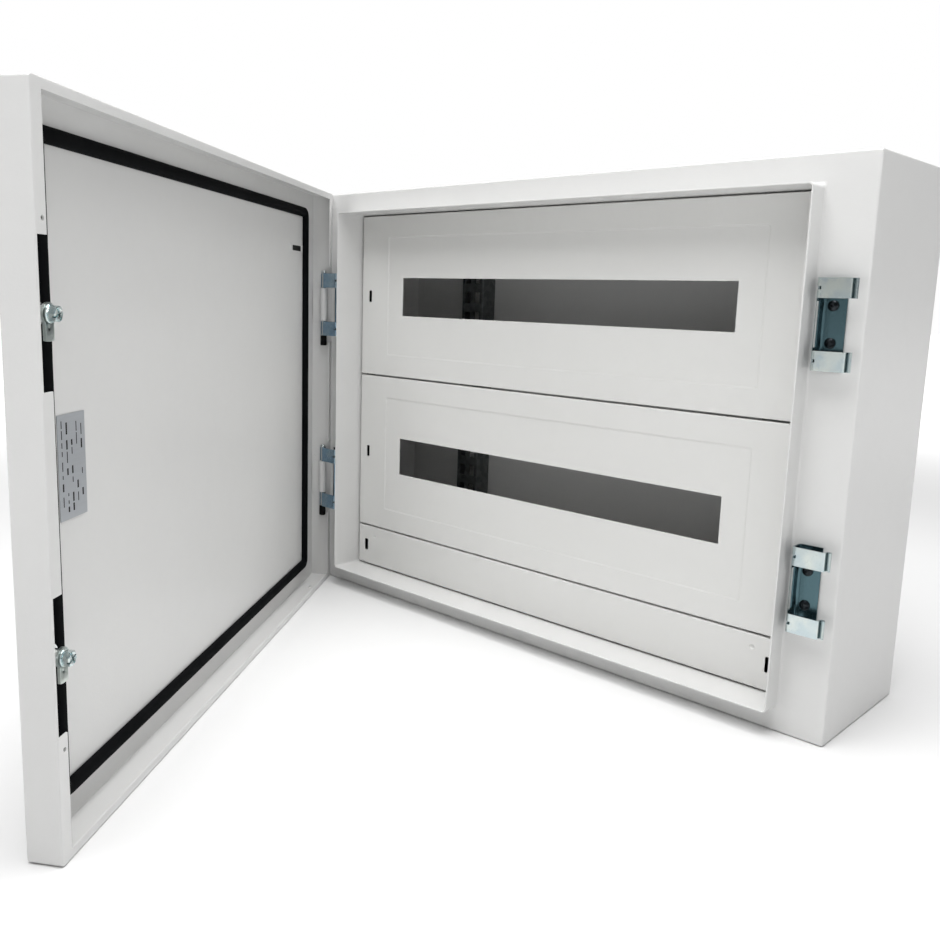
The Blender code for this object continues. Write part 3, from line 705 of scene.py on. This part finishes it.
def makeBracket(name, node, curl, side, finish):
    spec = bracket
    shape = bmesh.new()
    low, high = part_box(node)
    level, tall = (low.z + high.z) / 2, high.z - low.z
    edge = side * shellHigh.x
    points = [shape.verts.new((edge - side * across, flange - ahead, low.z))
              for across, ahead in bracketOutline(*spec[curl])]
    for first, second in zip(points, points[1:]):
        shape.edges.new((first, second))
    raised = bmesh.ops.extrude_edge_only(shape, edges=shape.edges[:])["geom"]
    lifted = [v for v in raised if isinstance(v, bmesh.types.BMVert)]
    bmesh.ops.translate(shape, vec=(0, 0, tall), verts=lifted)
    bmesh.ops.recalc_face_normals(shape, faces=shape.faces)
    made = objectFrom(shape, name, finish)
    wall = made.modifiers.new("wall", "SOLIDIFY")
    wall.thickness, wall.offset, wall.use_even_offset = spec["sheet"], 0, True
    wallX = edge - side * spec["wallInset"]

    def across(near, far, back, front, low, high):
        ends = sorted((wallX + side * near, wallX + side * far))
        return block((ends[0], flange - front, level + low), (ends[1], flange - back, level + high))

    half = spec["window"] / 2
    slotHalf, slotBack, slotFront = spec["slot"]
    carved(made, across(spec["sheet"], 60 * mm, 4 * mm, 30 * mm, -half, half))
    carved(made, across(-3 * mm, 4 * mm, slotBack, slotFront, -slotHalf, slotHalf))
    reliefHalf, reliefDeep = spec["relief"]
    for arm in (-1, 1):
        middle = arm * (half + tall / 2) / 2
        carved(made, across(-3 * mm, reliefDeep, spec["front"] - 4.4 * mm, 30 * mm, middle - reliefHalf,
                            middle + reliefHalf))
    bevelled(made, 0.22 * mm, 2, 50)
    return settled(made, angle=30)


for word in levels:
    for name, node, curl, side, finish in (("lockKeeper.", "lock_keeper_", "keeperCurl", 1, keeperZinc),
                                           ("hingeBracket.", "hinge_bracket_", "hingeCurl", -1, zinc)):
        made = makeBracket(name + word, node + word, curl, side, finish)
        onBody(made, "cabinet", [node + word])
print("brackets made")


# Geometry Nodes: one head on each point, and a strip of punched cells
def newTree(name, inputs):
    inputs = [("Geometry", "Geometry", None), *inputs, ("Finish", "Material", None)]
    tree, given, result = newGroup(name, inputs, [("Geometry", "Geometry")], "GeometryNodeTree")
    tree.is_modifier = True
    return tree, given.outputs, result


def finishTree(tree, given, result, geometry):
    real = addNode(tree, "GeometryNodeRealizeInstances", Geometry=geometry)
    paint = addNode(tree, "GeometryNodeSetMaterial", Geometry=real.outputs[0], Material=given["Finish"])
    wired(tree, result, {"Geometry": paint.outputs[0]})
    return tree


def makeScatterTree():
    tree, given, result = newTree("headsOnPoints", [
        ("Head", "Object", None), ("Axis", "Vector", (0, 1, 0)), ("Size", "Float", 1.0),
        ("Spread", "Float", 6.28), ("Seed", "Int", 3)])
    head = addNode(tree, "GeometryNodeObjectInfo", Object=given["Head"])
    chance = addNode(tree, "FunctionNodeRandomValue", {"data_type": "FLOAT"}, i3=given["Spread"],
                     Seed=given["Seed"])
    turn = addNode(tree, "ShaderNodeVectorMath", {"operation": "SCALE"}, i0=given["Axis"],
                   Scale=chance.outputs[1])
    lay = addNode(tree, "GeometryNodeInstanceOnPoints", Points=given["Geometry"],
                  Instance=head.outputs["Geometry"], Rotation=turn.outputs[0], Scale=given["Size"])
    return finishTree(tree, given, result, lay.outputs[0])


def makeStripTree():
    tree, given, result = newTree("punchedStrip", [
        ("Cell", "Object", None), ("Rows", "Int", 17), ("Pitch", "Float", 0.025),
        ("Start", "Vector", (0, 0, 0))])
    cell = addNode(tree, "GeometryNodeObjectInfo", Object=given["Cell"])
    step = addNode(tree, "ShaderNodeCombineXYZ", Z=given["Pitch"])
    line = addNode(tree, "GeometryNodeMeshLine", Count=given["Rows"], Offset=step.outputs[0],
                   **{"Start Location": given["Start"]})
    lay = addNode(tree, "GeometryNodeInstanceOnPoints", Points=line.outputs[0],
                  Instance=cell.outputs["Geometry"])
    return finishTree(tree, given, result, lay.outputs[0])


trees = {"heads": makeScatterTree(), "strip": makeStripTree()}


def grown(name, tree, points, **values):  # a plain mesh from a Geometry Nodes tree
    mesh = bpy.data.meshes.new(name)
    mesh.from_pydata([tuple(p) for p in points], [], [])
    piece = bpy.data.objects.new(name, mesh)
    bpy.context.scene.collection.objects.link(piece)
    grow = piece.modifiers.new("grow", "NODES")
    grow.node_group = trees[tree]
    for item in trees[tree].interface.items_tree:
        if item.item_type == "SOCKET" and item.in_out == "INPUT" and item.name in values:
            grow[item.identifier] = values[item.name]
    return evaluated(piece)


# screws and bolts
screwSpec = inMetres({"rim": 4.4, "height": 2.4, "shank": 2.5, "length": 6, "socket": 1.5})


def makeButtonHead():
    spec = screwSpec
    rim, height = spec["rim"], spec["height"]
    dome = [[rim * math.cos(a), height * (0.22 + 0.78 * math.sin(a))] for a in
            [math.pi / 2 * i / 8 for i in range(8)] if rim * math.cos(a) > 2.0 * mm]
    shank, end = spec["shank"], -spec["length"]
    outline = [[0, end], [shank, end], [shank, 0],
               [rim - 0.15 * mm, 0], [rim, 0.12 * mm]] + dome + [[1.9 * mm, height], [0, height]]
    head = turned("buttonHead", outline, None, 32)
    socket = rod((0, 0), spec["socket"] / math.cos(math.pi / 6), height - 1.4 * mm, height + 2 * mm, 6, "Z")
    carved(head, socket)
    bevelled(head, 0.10 * mm, 2, 50)
    return placed(settled(head, 30), facingOut)


def makeHexHead(radius, height, shank, length, facing):
    head = rod((0, 0), radius, 0, height, 6, "Z")
    wide = radius + 0.05 * mm
    dome = turned("hexTrim", [[0, -length - mm], [wide, -length - mm], [wide, height - 0.55 * mm],
                              [radius * 0.86, height], [0, height]], None, 48)
    carved(head, dome, operation="INTERSECT")
    carved(head, rod((0, 0), shank, -length, height / 2, 20, "Z"), operation="UNION")
    bevelled(head, 0.10 * mm, 1, 50)
    return placed(settled(head, 30), facing)


def seatPoints(nodes, axis, top):  # where each fastener of the frame sits
    points = []
    for node in nodes:
        low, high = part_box(node)
        point = (low + high) / 2
        point[axis] = top(low, high)
        points.append(point)
    return points


bracketScrews = [f"{kind}_{word}_screw_{end}" for word in levels for kind in ("hinge_bracket", "lock_keeper")
                 for end in ("top", "bottom")]
seats = seatPoints(bracketScrews, 1, lambda low, high: low.y + screwSpec["height"])
screws = grown("bracketScrews", "heads", seats, Head=makeButtonHead(), Axis=(0, 1, 0), Finish=darkScrew)
onBody(settled(screws, 30), "cabinet", bracketScrews)

uprightBolts = [f"upright_bolt_{side}_{end}" for side in ("left", "right") for end in ("upper", "lower")]
seats = seatPoints(uprightBolts, 1, lambda low, high: low.y + 4 * mm)
hexHead = makeHexHead(5.8 * mm, 4 * mm, 2.9 * mm, 5 * mm, facingOut)
bolts = grown("uprightBolts", "heads", seats, Head=hexHead, Axis=(0, 1, 0), Finish=zincBright)
onBody(settled(bolts, 30), "cabinet", uprightBolts)

glandScrews = [f"gland_screw_{a}_{b}" for a in ("front", "rear") for b in ("left", "right")]
seats = seatPoints(glandScrews, 2, lambda low, high: high.z - 2.5 * mm)
panHead = turned("panHead", inMetres(((0, -4), (1.9, -4), (1.9, 0), (3.7, 0), (3.8, 0.3), (3.6, 1.3),
                                      (2.9, 2.1), (1.6, 2.45), (0, 2.5))), None, 28)
for wide, long in ((0.45 * mm, 2.4 * mm), (2.4 * mm, 0.45 * mm)):
    carved(panHead, block((-wide, -long, 1.3 * mm), (wide, long, 5 * mm)))
plateScrews = grown("glandScrews", "heads", seats, Head=settled(panHead, 30), Axis=(0, 0, 1),
                    Finish=zincBright)
onBody(settled(plateScrews, 30), "cabinet", glandScrews)
print("fasteners made")


# perforated uprights
upright = inMetres({"pitch": 25, "hole": (8.4, 14), "holeCentre": 8.0, "bend": 1.6, "sheet": 1.5})


def makeUpright(side):
    spec = upright
    low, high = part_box("upright_" + side)
    middle, half = (low.x + high.x) / 2, (high.x - low.x) / 2
    rows = int((high.z - low.z) / spec["pitch"])
    margin = ((high.z - low.z) - rows * spec["pitch"]) / 2
    section = softened([([-half, high.y], 0), ([-half, low.y], spec["bend"]), ([half, low.y], spec["bend"]),
                        ([half, high.y], 0)], steps=4)
    holeHalf, centre = spec["hole"][0] / 2, spec["holeCentre"]
    edges = [-centre - holeHalf, -centre + holeHalf, centre - holeHalf, centre + holeHalf]
    cut = next(i for i, p in enumerate(section) if p[0] > 0)
    section = section[:cut] + [[x, low.y] for x in edges] + section[cut:]

    def strip(heights, punched):
        shape = bmesh.new()
        grid = [[shape.verts.new((x, y, z)) for x, y in section] for z in heights]
        for k in range(len(heights) - 1):
            for i in range(len(section) - 1):
                inHole = section[i] in ([edges[0], low.y], [edges[2], low.y])
                if punched and k == 1 and inHole:
                    continue
                shape.faces.new((grid[k][i], grid[k][i + 1], grid[k + 1][i + 1], grid[k + 1][i]))
        return shape

    tall = spec["hole"][1] / 2
    reach = spec["pitch"] / 2
    cell = objectFrom(strip([-reach, -tall, tall, reach], True), "punchedCell", helper=True)
    piece = grown("upright." + side, "strip", [(0, 0, 0)], Cell=cell, Rows=rows, Pitch=spec["pitch"],
                  Start=(middle, 0, low.z + margin + spec["pitch"] / 2), Finish=darkSteel)
    shape = bmesh.new()
    shape.from_mesh(piece.data)
    for ends in ((low.z, low.z + margin), (high.z - margin, high.z)):
        cap = strip(ends, False)
        cap.transform(Matrix.Translation((middle, 0, 0)))
        mesh = bpy.data.meshes.new("cap")
        cap.to_mesh(mesh)
        cap.free()
        shape.from_mesh(mesh)
    bmesh.ops.remove_doubles(shape, verts=shape.verts, dist=0.00002)
    bmesh.ops.recalc_face_normals(shape, faces=shape.faces)
    if sum(f.normal.y * f.calc_area() for f in shape.faces) > 0:
        bmesh.ops.reverse_faces(shape, faces=shape.faces)
    shape.to_mesh(piece.data)
    shape.free()
    wall = piece.modifiers.new("wall", "SOLIDIFY")
    wall.thickness, wall.offset, wall.use_even_offset = spec["sheet"], -1, True
    bevelled(piece, 0.2 * mm, 2, 60)
    onBody(settled(piece), "cabinet", ["upright_" + side])


for side in ("left", "right"):
    makeUpright(side)
print("uprights made")


# quarter-turn locks
lock = inMetres({"barrel": 8.5, "bore": 6.1, "flangeTall": 2.2, "square": 3.5, "markRadius": 0.9,
                 "boltShank": 2.1, "flangeRadius": 12, "nutRadius": 12.2, "nutHeight": 5, "spindle": 5.7,
                 "tongueBack": 11.8, "tongueThick": 2, "tongueWidth": 9.6, "tongueReach": 17,
                 "tongueHead": 7, "markDown": 9.6, "washer": 6.2, "hexRadius": 5.5, "hexTall": 5.6})


def makeLock(word, level):
    spec = lock
    nose = doorFace - gap
    at = Matrix.Translation((lockX, 0, level))
    start = Matrix.Translation((0, nose, 0))
    length = (flange - 18.5 * mm) - nose
    r = spec["barrel"]
    bore, wide, rimTop = spec["bore"], spec["flangeRadius"], -spec["flangeTall"]
    barrel = turned("lockBarrel." + word, softened([
        ([bore, rimTop], 0.3 * mm), ([wide, rimTop], 1.1 * mm), ([wide, 0], 0.2 * mm), ([r, 0], 0),
        ([r, length], 0.5 * mm), ([bore, length], 0.4 * mm)], closed=True), zincBright, 64)
    closeTurned(barrel)
    barrel = settled(placed(barrel, at @ start @ facingIn))
    across, tall = spec["nutRadius"], spec["nutHeight"]
    nut = rod((0, 0), across, 0, tall, 6, "Z", "lockNut." + word, zincBright)
    wide = across + 0.1 * mm
    trim = turned("nutTrim", [[0, -mm], [across * 0.90, 0], [wide, 0.9 * mm], [wide, tall - 0.9 * mm],
                              [across * 0.90, tall], [0, tall + mm]], None, 48)
    carved(nut, trim, operation="INTERSECT")
    carved(nut, rod((0, 0), r + gap, -mm, 9 * mm, 40, "Z"))
    behind = Matrix.Translation((0, doorPanel + gap, 0))
    nut = settled(placed(settled(bevelled(nut, 0.15 * mm, 2, 50)), at @ behind @ facingIn))
    onBody(barrel, "door", ["lock_barrel_" + word], doorTurn)
    onBody(nut, "door", ["lock_nut_" + word], doorTurn)

    back = flange - spec["tongueBack"]
    face = back + spec["tongueThick"]
    spindle = rod((0, 0), spec["spindle"], 0.5 * mm, back - gap - nose, 40, "Z", "lockSpindle." + word,
                  zincBright)
    square = spec["square"]
    carved(spindle, block((-square, -square, back - nose - 2 * mm), (square, square, face - nose - gap)),
           operation="UNION")
    carved(spindle, rod((0, 0), 2.5 * mm, back - nose - 10 * mm, 60 * mm, 20, "Z"))
    keyPit = rod((0, 0), 4.5 * mm, -10 * mm, 3.5 * mm, 32, "Z")
    carved(keyPit, block((-4.6 * mm, -1.0 * mm, -12 * mm), (4.6 * mm, 1.0 * mm, 5 * mm)))
    carved(spindle, keyPit)
    bevelled(spindle, 0.2 * mm, 2, 50)
    spindle = placed(settled(spindle), at @ start @ facingIn)

    half = spec["tongueWidth"] / 2
    tongue = block((-half, 0, -spec["tongueReach"] - 2 * mm), (half, spec["tongueThick"], 0), 0.0, None,
                   "lockTongue." + word, tongueZinc)
    carved(tongue, rod((0, 0), spec["tongueHead"], 0, spec["tongueThick"], 48), operation="UNION")
    carved(tongue, rod((0, 0), spec["tongueReach"], -mm, 9 * mm, 96), operation="INTERSECT")
    hole = square + gap
    carved(tongue, block((-hole, -mm, -hole), (hole, 9 * mm, hole)))
    carved(tongue, rod((0.8 * mm, -spec["markDown"]), spec["markRadius"], spec["tongueThick"] - 0.8 * mm,
                       9 * mm, 16))
    bevelled(tongue, 0.28 * mm, 3, 50)
    tongue = placed(settled(tongue), at @ Matrix.Translation((0, back, 0)))

    washerAt = face + gap
    rim, hexagon, shank = spec["washer"], spec["hexRadius"], spec["boltShank"]
    washer = turned("lockBolt." + word, softened([
        ([0, -7 * mm], 0), ([shank, -7 * mm], 0), ([shank, 0], 0), ([rim, 0], 0.25 * mm),
        ([rim, 0.8 * mm], 0.4 * mm), ([hexagon - 0.9 * mm, 1.2 * mm], 0), ([0, 1.2 * mm], 0)]), boltZinc, 56)
    tip, wide = spec["hexTall"] + 0.6 * mm, hexagon + 0.1 * mm
    head = rod((0, 0), hexagon, 0.4 * mm, tip, 6, "Z")
    trim = turned("hexTrim", [[0, -mm], [wide, -mm], [wide, spec["hexTall"] - 0.1 * mm],
                              [hexagon * 0.80, tip], [0, tip]], None, 48)
    carved(head, trim, operation="INTERSECT")
    evaluated(head)
    carved(washer, head, operation="UNION")
    for wide, long in ((0.7 * mm, 9 * mm), (9 * mm, 0.7 * mm)):
        carved(washer, block((-wide, -long, 4.2 * mm), (wide, long, 20 * mm)))
    bevelled(washer, 0.18 * mm, 2, 50)
    tilt = Matrix.Rotation(math.radians(24), 4, "Z")
    bolt = placed(settled(washer, 30), at @ Matrix.Translation((0, washerAt, 0)) @ facingIn @ tilt)
    body = word + "_lock"
    onBody(spindle, body, ["lock_spindle_" + word], doorTurn)
    onBody(tongue, body, ["lock_tongue_" + word], doorTurn)
    onBody(bolt, body, ["lock_bolt_" + word], doorTurn)


for word, level in levels.items():
    makeLock(word, level)
print("locks made")


# hinge pins, caps and knuckles
hinge = inMetres({"pin": 2.4, "head": 3.3, "headTall": 3, "knuckle": 4.6, "reach": 20.3, "cap": 4.1,
                  "capTall": 12.5, "nub": 1.5})


def makeHinge(word, level):
    spec = hinge
    low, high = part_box("hinge_bracket_" + word)
    half = (high.z - low.z) / 2 + gap
    at = Matrix.Translation((pinX, pinY, level))
    core, head, top = spec["pin"], spec["head"], half + spec["headTall"]
    pin = turned("hingePin." + word, softened([
        ([0, -half - 8 * mm], 0), ([core, -half - 8 * mm], 0.4 * mm), ([core, half], 0),
        ([head, half], 0.3 * mm), ([head, top], 1.6 * mm), ([0, top], 0)]), zincBright, 40)
    onBody(settled(placed(pin, at)), "cabinet", ["hinge_pin_" + word])
    hollow, deep, foot = core + gap, -half - 8.6 * mm, -half - spec["capTall"]
    cap = turned("pinCap." + word, softened([
        ([0, deep], 0), ([hollow, deep], 0), ([hollow, -half], 0.2 * mm), ([spec["cap"], -half], 0.7 * mm),
        ([spec["cap"] - 0.15 * mm, foot], 1.2 * mm), ([0, foot], 0)]), blackPlastic, 40)
    onBody(settled(placed(cap, at)), "cabinet", ["pin_cap_" + word])
    reach = spec["reach"]
    leaf = rod((pinX, pinY), spec["knuckle"], level - reach, level + reach, 48, "Z", "doorKnuckle." + word,
               coat)
    left = shellLow.x + sheet + gap
    carved(leaf, block((left, doorPanel + 1.2 * mm, level - reach), (left + sheet, pinY, level + reach)),
           operation="UNION")
    carved(leaf, rod((pinX, pinY), spec["pin"] + 0.4 * mm, level - 40 * mm, level + 40 * mm, 32, "Z"))
    bevelled(leaf, 0.35 * mm, 2, 50)
    onBody(settled(leaf), "door", ["door_knuckle_" + word], doorTurn)


for word, level in levels.items():
    makeHinge(word, level)
nubHead = turned("nubHead", softened([([0, -0.4 * mm], 0), ([hinge["nub"], -0.4 * mm], 0),
                                     ([hinge["nub"], 0.1 * mm], 0.5 * mm), ([0, 0.9 * mm], 0)]), None, 24)
placed(nubHead, Matrix.Rotation(math.pi / 2, 4, "Y"))
seats = [(shellLow.x + sheet, flange - 24.8 * mm, level + shift) for level in levels.values()
         for shift in (-24 * mm, 2 * mm, 26 * mm)]
nubs = grown("weldNubs", "heads", seats, Head=settled(nubHead), Axis=(1, 0, 0), Finish=coat)
onBody(settled(nubs), "door", [], doorTurn)
print("hinges made")


# rating label with blank rules in place of print, and the black plug on the door
label = inMetres({"low": (-90, 216), "high": (-55, 288.5), "corner": 0.7})
label.update({"rows": 5})


def makeLabel():
    spec = label
    x0, z0 = shellHigh.x + spec["low"][0], shellLow.z + spec["low"][1]
    x1, z1 = shellHigh.x + spec["high"][0], shellLow.z + spec["high"][1]
    y = doorPanel + gap
    foilPlate = block((x0, y, z0), (x1, y + 0.25 * mm, z1), spec["corner"], 1, "ratingLabel", foil, 6)
    onBody(settled(foilPlate), "door", ["rating_label"], doorTurn)
    chance = random.Random(11)
    shape = bmesh.new()
    for row in range(spec["rows"]):
        x = x0 + (x1 - x0) * (row + 0.8) / (spec["rows"] + 0.6)
        z = z0 + 5 * mm
        while z < z1 - 7 * mm:
            long = chance.uniform(2, 9) * mm
            thick = chance.choice((0.5, 0.5, 0.9)) * mm
            if chance.random() < 0.75:
                stop = min(z + long, z1 - 4 * mm)
                corners = [(x - thick, z), (x + thick, z), (x + thick, stop), (x - thick, stop)]
                lowFace, highFace = ([shape.verts.new((a, y + up, b)) for a, b in corners]
                                     for up in (0.26 * mm, 0.29 * mm))
                shape.faces.new(lowFace)
                shape.faces.new(highFace)
                for i in range(4):
                    j = (i + 1) % 4
                    shape.faces.new((lowFace[i], lowFace[j], highFace[j], highFace[i]))
            z += long + chance.uniform(1, 4) * mm
    bmesh.ops.recalc_face_normals(shape, faces=shape.faces)
    onBody(objectFrom(shape, "labelRules", ink), "door", [], doorTurn)


def makePlug():
    x, z, halfWide, halfTall = door["plug"]
    rimWide, rimTall, proud = door["plugRim"]
    rim = block((x - halfWide - rimWide, doorPanel - 0.1 * mm, z - halfTall - rimTall),
                (x + halfWide + rimWide, doorPanel + proud, z + halfTall + rimTall), 2.2 * mm, 1, "plugRim",
                coat, 6)
    carved(rim, block((x - halfWide, doorPanel - 9 * mm, z - halfTall),
                      (x + halfWide, doorPanel + 9 * mm, z + halfTall), 1.6 * mm, along=1, segments=6))
    bevelled(rim, 0.35 * mm, 3, 50)
    onBody(settled(rim), "door", [], doorTurn)
    plug = block((x - halfWide + 0.1 * mm, doorPanel - 0.05 * mm, z - halfTall + 0.1 * mm),
                 (x + halfWide - 0.1 * mm, doorPanel + 0.35 * mm, z + halfTall - 0.1 * mm), 1.5 * mm, 1,
                 "doorPlug", blackPlastic, 6)
    onBody(settled(plug), "door", [], doorTurn)


makeLabel()
makePlug()
print("label and plug made")


# what is left keeps the frame's own shape, with its edges broken
def refined(node, finish, edge=0.3 * mm, angle=40):
    body = frame["nodes"][node]["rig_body"]
    shape = bmesh.new()
    shape.from_mesh(frame["nodes"][node].data)
    bmesh.ops.remove_doubles(shape, verts=shape.verts, dist=0.00001)
    bmesh.ops.dissolve_limit(shape, angle_limit=math.radians(1), verts=shape.verts, edges=shape.edges)
    words = node.split("_")
    piece = objectFrom(shape, words[0] + "".join(w.capitalize() for w in words[1:]), finish)
    bevelled(piece, edge, 2, angle)
    return onBody(settled(piece), body, [node])


for node in ("cover_rail_left", "cover_rail_right", "bar_strip"):
    refined(node, darkSteel)
for node in ("earth_bar_foot", "neutral_bar_foot"):
    refined(node, greyPlastic)
for latch in ("upper_cover_latch_left", "lower_cover_latch_left", "blank_cover_latch_left",
              "blank_cover_latch_right"):
    refined(latch, blackPlastic, 0.4 * mm)
refined("gland_plate", coat)
refined("gland_seal", foam, 0.5 * mm)
for node in ("earth_bar", "neutral_bar"):
    refined(node, brass, 0.4 * mm)
    low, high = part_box(node)
    count = 14
    seats = [(low.x + (high.x - low.x) * (i + 0.5) / count, low.y + 0.6 * mm, (low.z + high.z) / 2)
             for i in range(count)]
    clampHead = turned("clampHead", softened([
        ([0, -mm], 0), ([2.4 * mm, -mm], 0), ([2.4 * mm, 1.2 * mm], 0.4 * mm), ([0, 1.3 * mm], 0)]), None, 16)
    carved(clampHead, block((-0.4 * mm, -5 * mm, 0.5 * mm), (0.4 * mm, 5 * mm, 5 * mm)))
    clampHead = placed(settled(clampHead, 30), facingOut)
    clamps = grown(node.split("_")[0] + "Clamps", "heads", seats, Head=clampHead, Axis=(0, 1, 0),
                   Finish=zincBright)
    onBody(settled(clamps, 30), "cabinet", [])
print("small parts made")


# camera, floor and lights
view = {"yaw": -0.7838, "pitch": -0.1694, "roll": 0.0235, "place": (0.6082, -0.9431, 0.1286), "lens": 36.01,
        "shift": (0.0598, -0.0182)}


def makeCamera():
    yaw, pitch, roll = view["yaw"], view["pitch"], view["roll"]
    ahead = Vector((math.sin(yaw) * math.cos(pitch), math.cos(yaw) * math.cos(pitch), math.sin(pitch)))
    right = Vector((math.cos(yaw), -math.sin(yaw), 0))
    up = right.cross(ahead)
    across = right * math.cos(roll) + up * math.sin(roll)
    upright = up * math.cos(roll) - right * math.sin(roll)
    lens = bpy.data.cameras.new("camera")
    lens.lens, lens.sensor_width = view["lens"], 36
    lens.shift_x, lens.shift_y = view["shift"]
    seen = bpy.data.objects.new("camera", lens)
    bpy.context.scene.collection.objects.link(seen)
    turn = Matrix((across, upright, -ahead)).transposed()
    seen.matrix_world = Matrix.Translation(view["place"]) @ turn.to_4x4()
    bpy.context.scene.camera = seen


# lights are (place, size in metres, watts); the floor is as white as the backdrop from whiteFrom to whiteAt
studio = {"floorHalf": 12, "floorColour": (0.82, 0.82, 0.82, 1), "whiteFrom": 0.9, "whiteAt": 2.6,
          "skyLight": 0.24, "aim": (0, -0.15, 0),
          "lights": {"frontTop": ((0.1, -0.9, 1.9), 1.5, 42), "overhead": ((0.2, 0.1, 2.2), 1.2, 28),
                     "rightFront": ((2.0, -1.2, 0.9), 1.4, 4.2), "leftFront": ((-1.6, -1.9, 1.0), 1.2, 2.5),
                     "rightRear": ((1.9, 0.9, 1.0), 1.2, 1.5)}}


def makeFloor():
    shape = bmesh.new()
    bmesh.ops.create_grid(shape, x_segments=1, y_segments=1, size=studio["floorHalf"])
    shape.transform(Matrix.Translation((0, 0, shellLow.z - 0.4 * mm)))
    paper = bpy.data.materials.new("paleFloor")
    paper.use_nodes = True
    tree = paper.node_tree
    where = tree.nodes.new("ShaderNodeTexCoord").outputs["Object"]
    out = addNode(tree, "ShaderNodeVectorMath", {"operation": "LENGTH"}, i0=where).outputs["Value"]
    glow = addNode(tree, "ShaderNodeMapRange", {"interpolation_type": "SMOOTHSTEP"}, i0=out,
                   i1=studio["whiteFrom"], i2=studio["whiteAt"]).outputs[0]
    wired(tree, tree.nodes["Principled BSDF"], {"Base Color": studio["floorColour"], "Roughness": 0.9,
                                               "Emission Color": (1, 1, 1, 1), "Emission Strength": glow})
    objectFrom(shape, "studioFloor", paper)


def makeLight():
    sky = bpy.data.worlds.new("studio")
    sky.use_nodes = True
    tree = sky.node_tree
    seen = tree.nodes.new("ShaderNodeLightPath").outputs["Is Camera Ray"]
    skyLight = studio["skyLight"]  # light on the object; the backdrop itself is white
    level = reckoned(tree, "MULTIPLY_ADD", seen, 1 - skyLight, skyLight)
    wired(tree, tree.nodes["Background"], {"Strength": level, "Color": (1, 1, 1, 1)})
    bpy.context.scene.world = sky
    for name, (place, size, power) in studio["lights"].items():
        light = bpy.data.lights.new(name, "AREA")
        light.size, light.energy = size, power
        lamp = bpy.data.objects.new(name, light)
        bpy.context.scene.collection.objects.link(lamp)
        lamp.location = place
        lamp.rotation_euler = (Vector(studio["aim"]) - Vector(place)).to_track_quat("-Z", "Y").to_euler()
    bpy.context.scene.view_settings.view_transform = "Standard"


makeCamera()
makeFloor()
makeLight()
print("camera, floor and lights made")
for piece in list(workshop.objects):
    bpy.data.objects.remove(piece)
bpy.data.collections.remove(workshop)
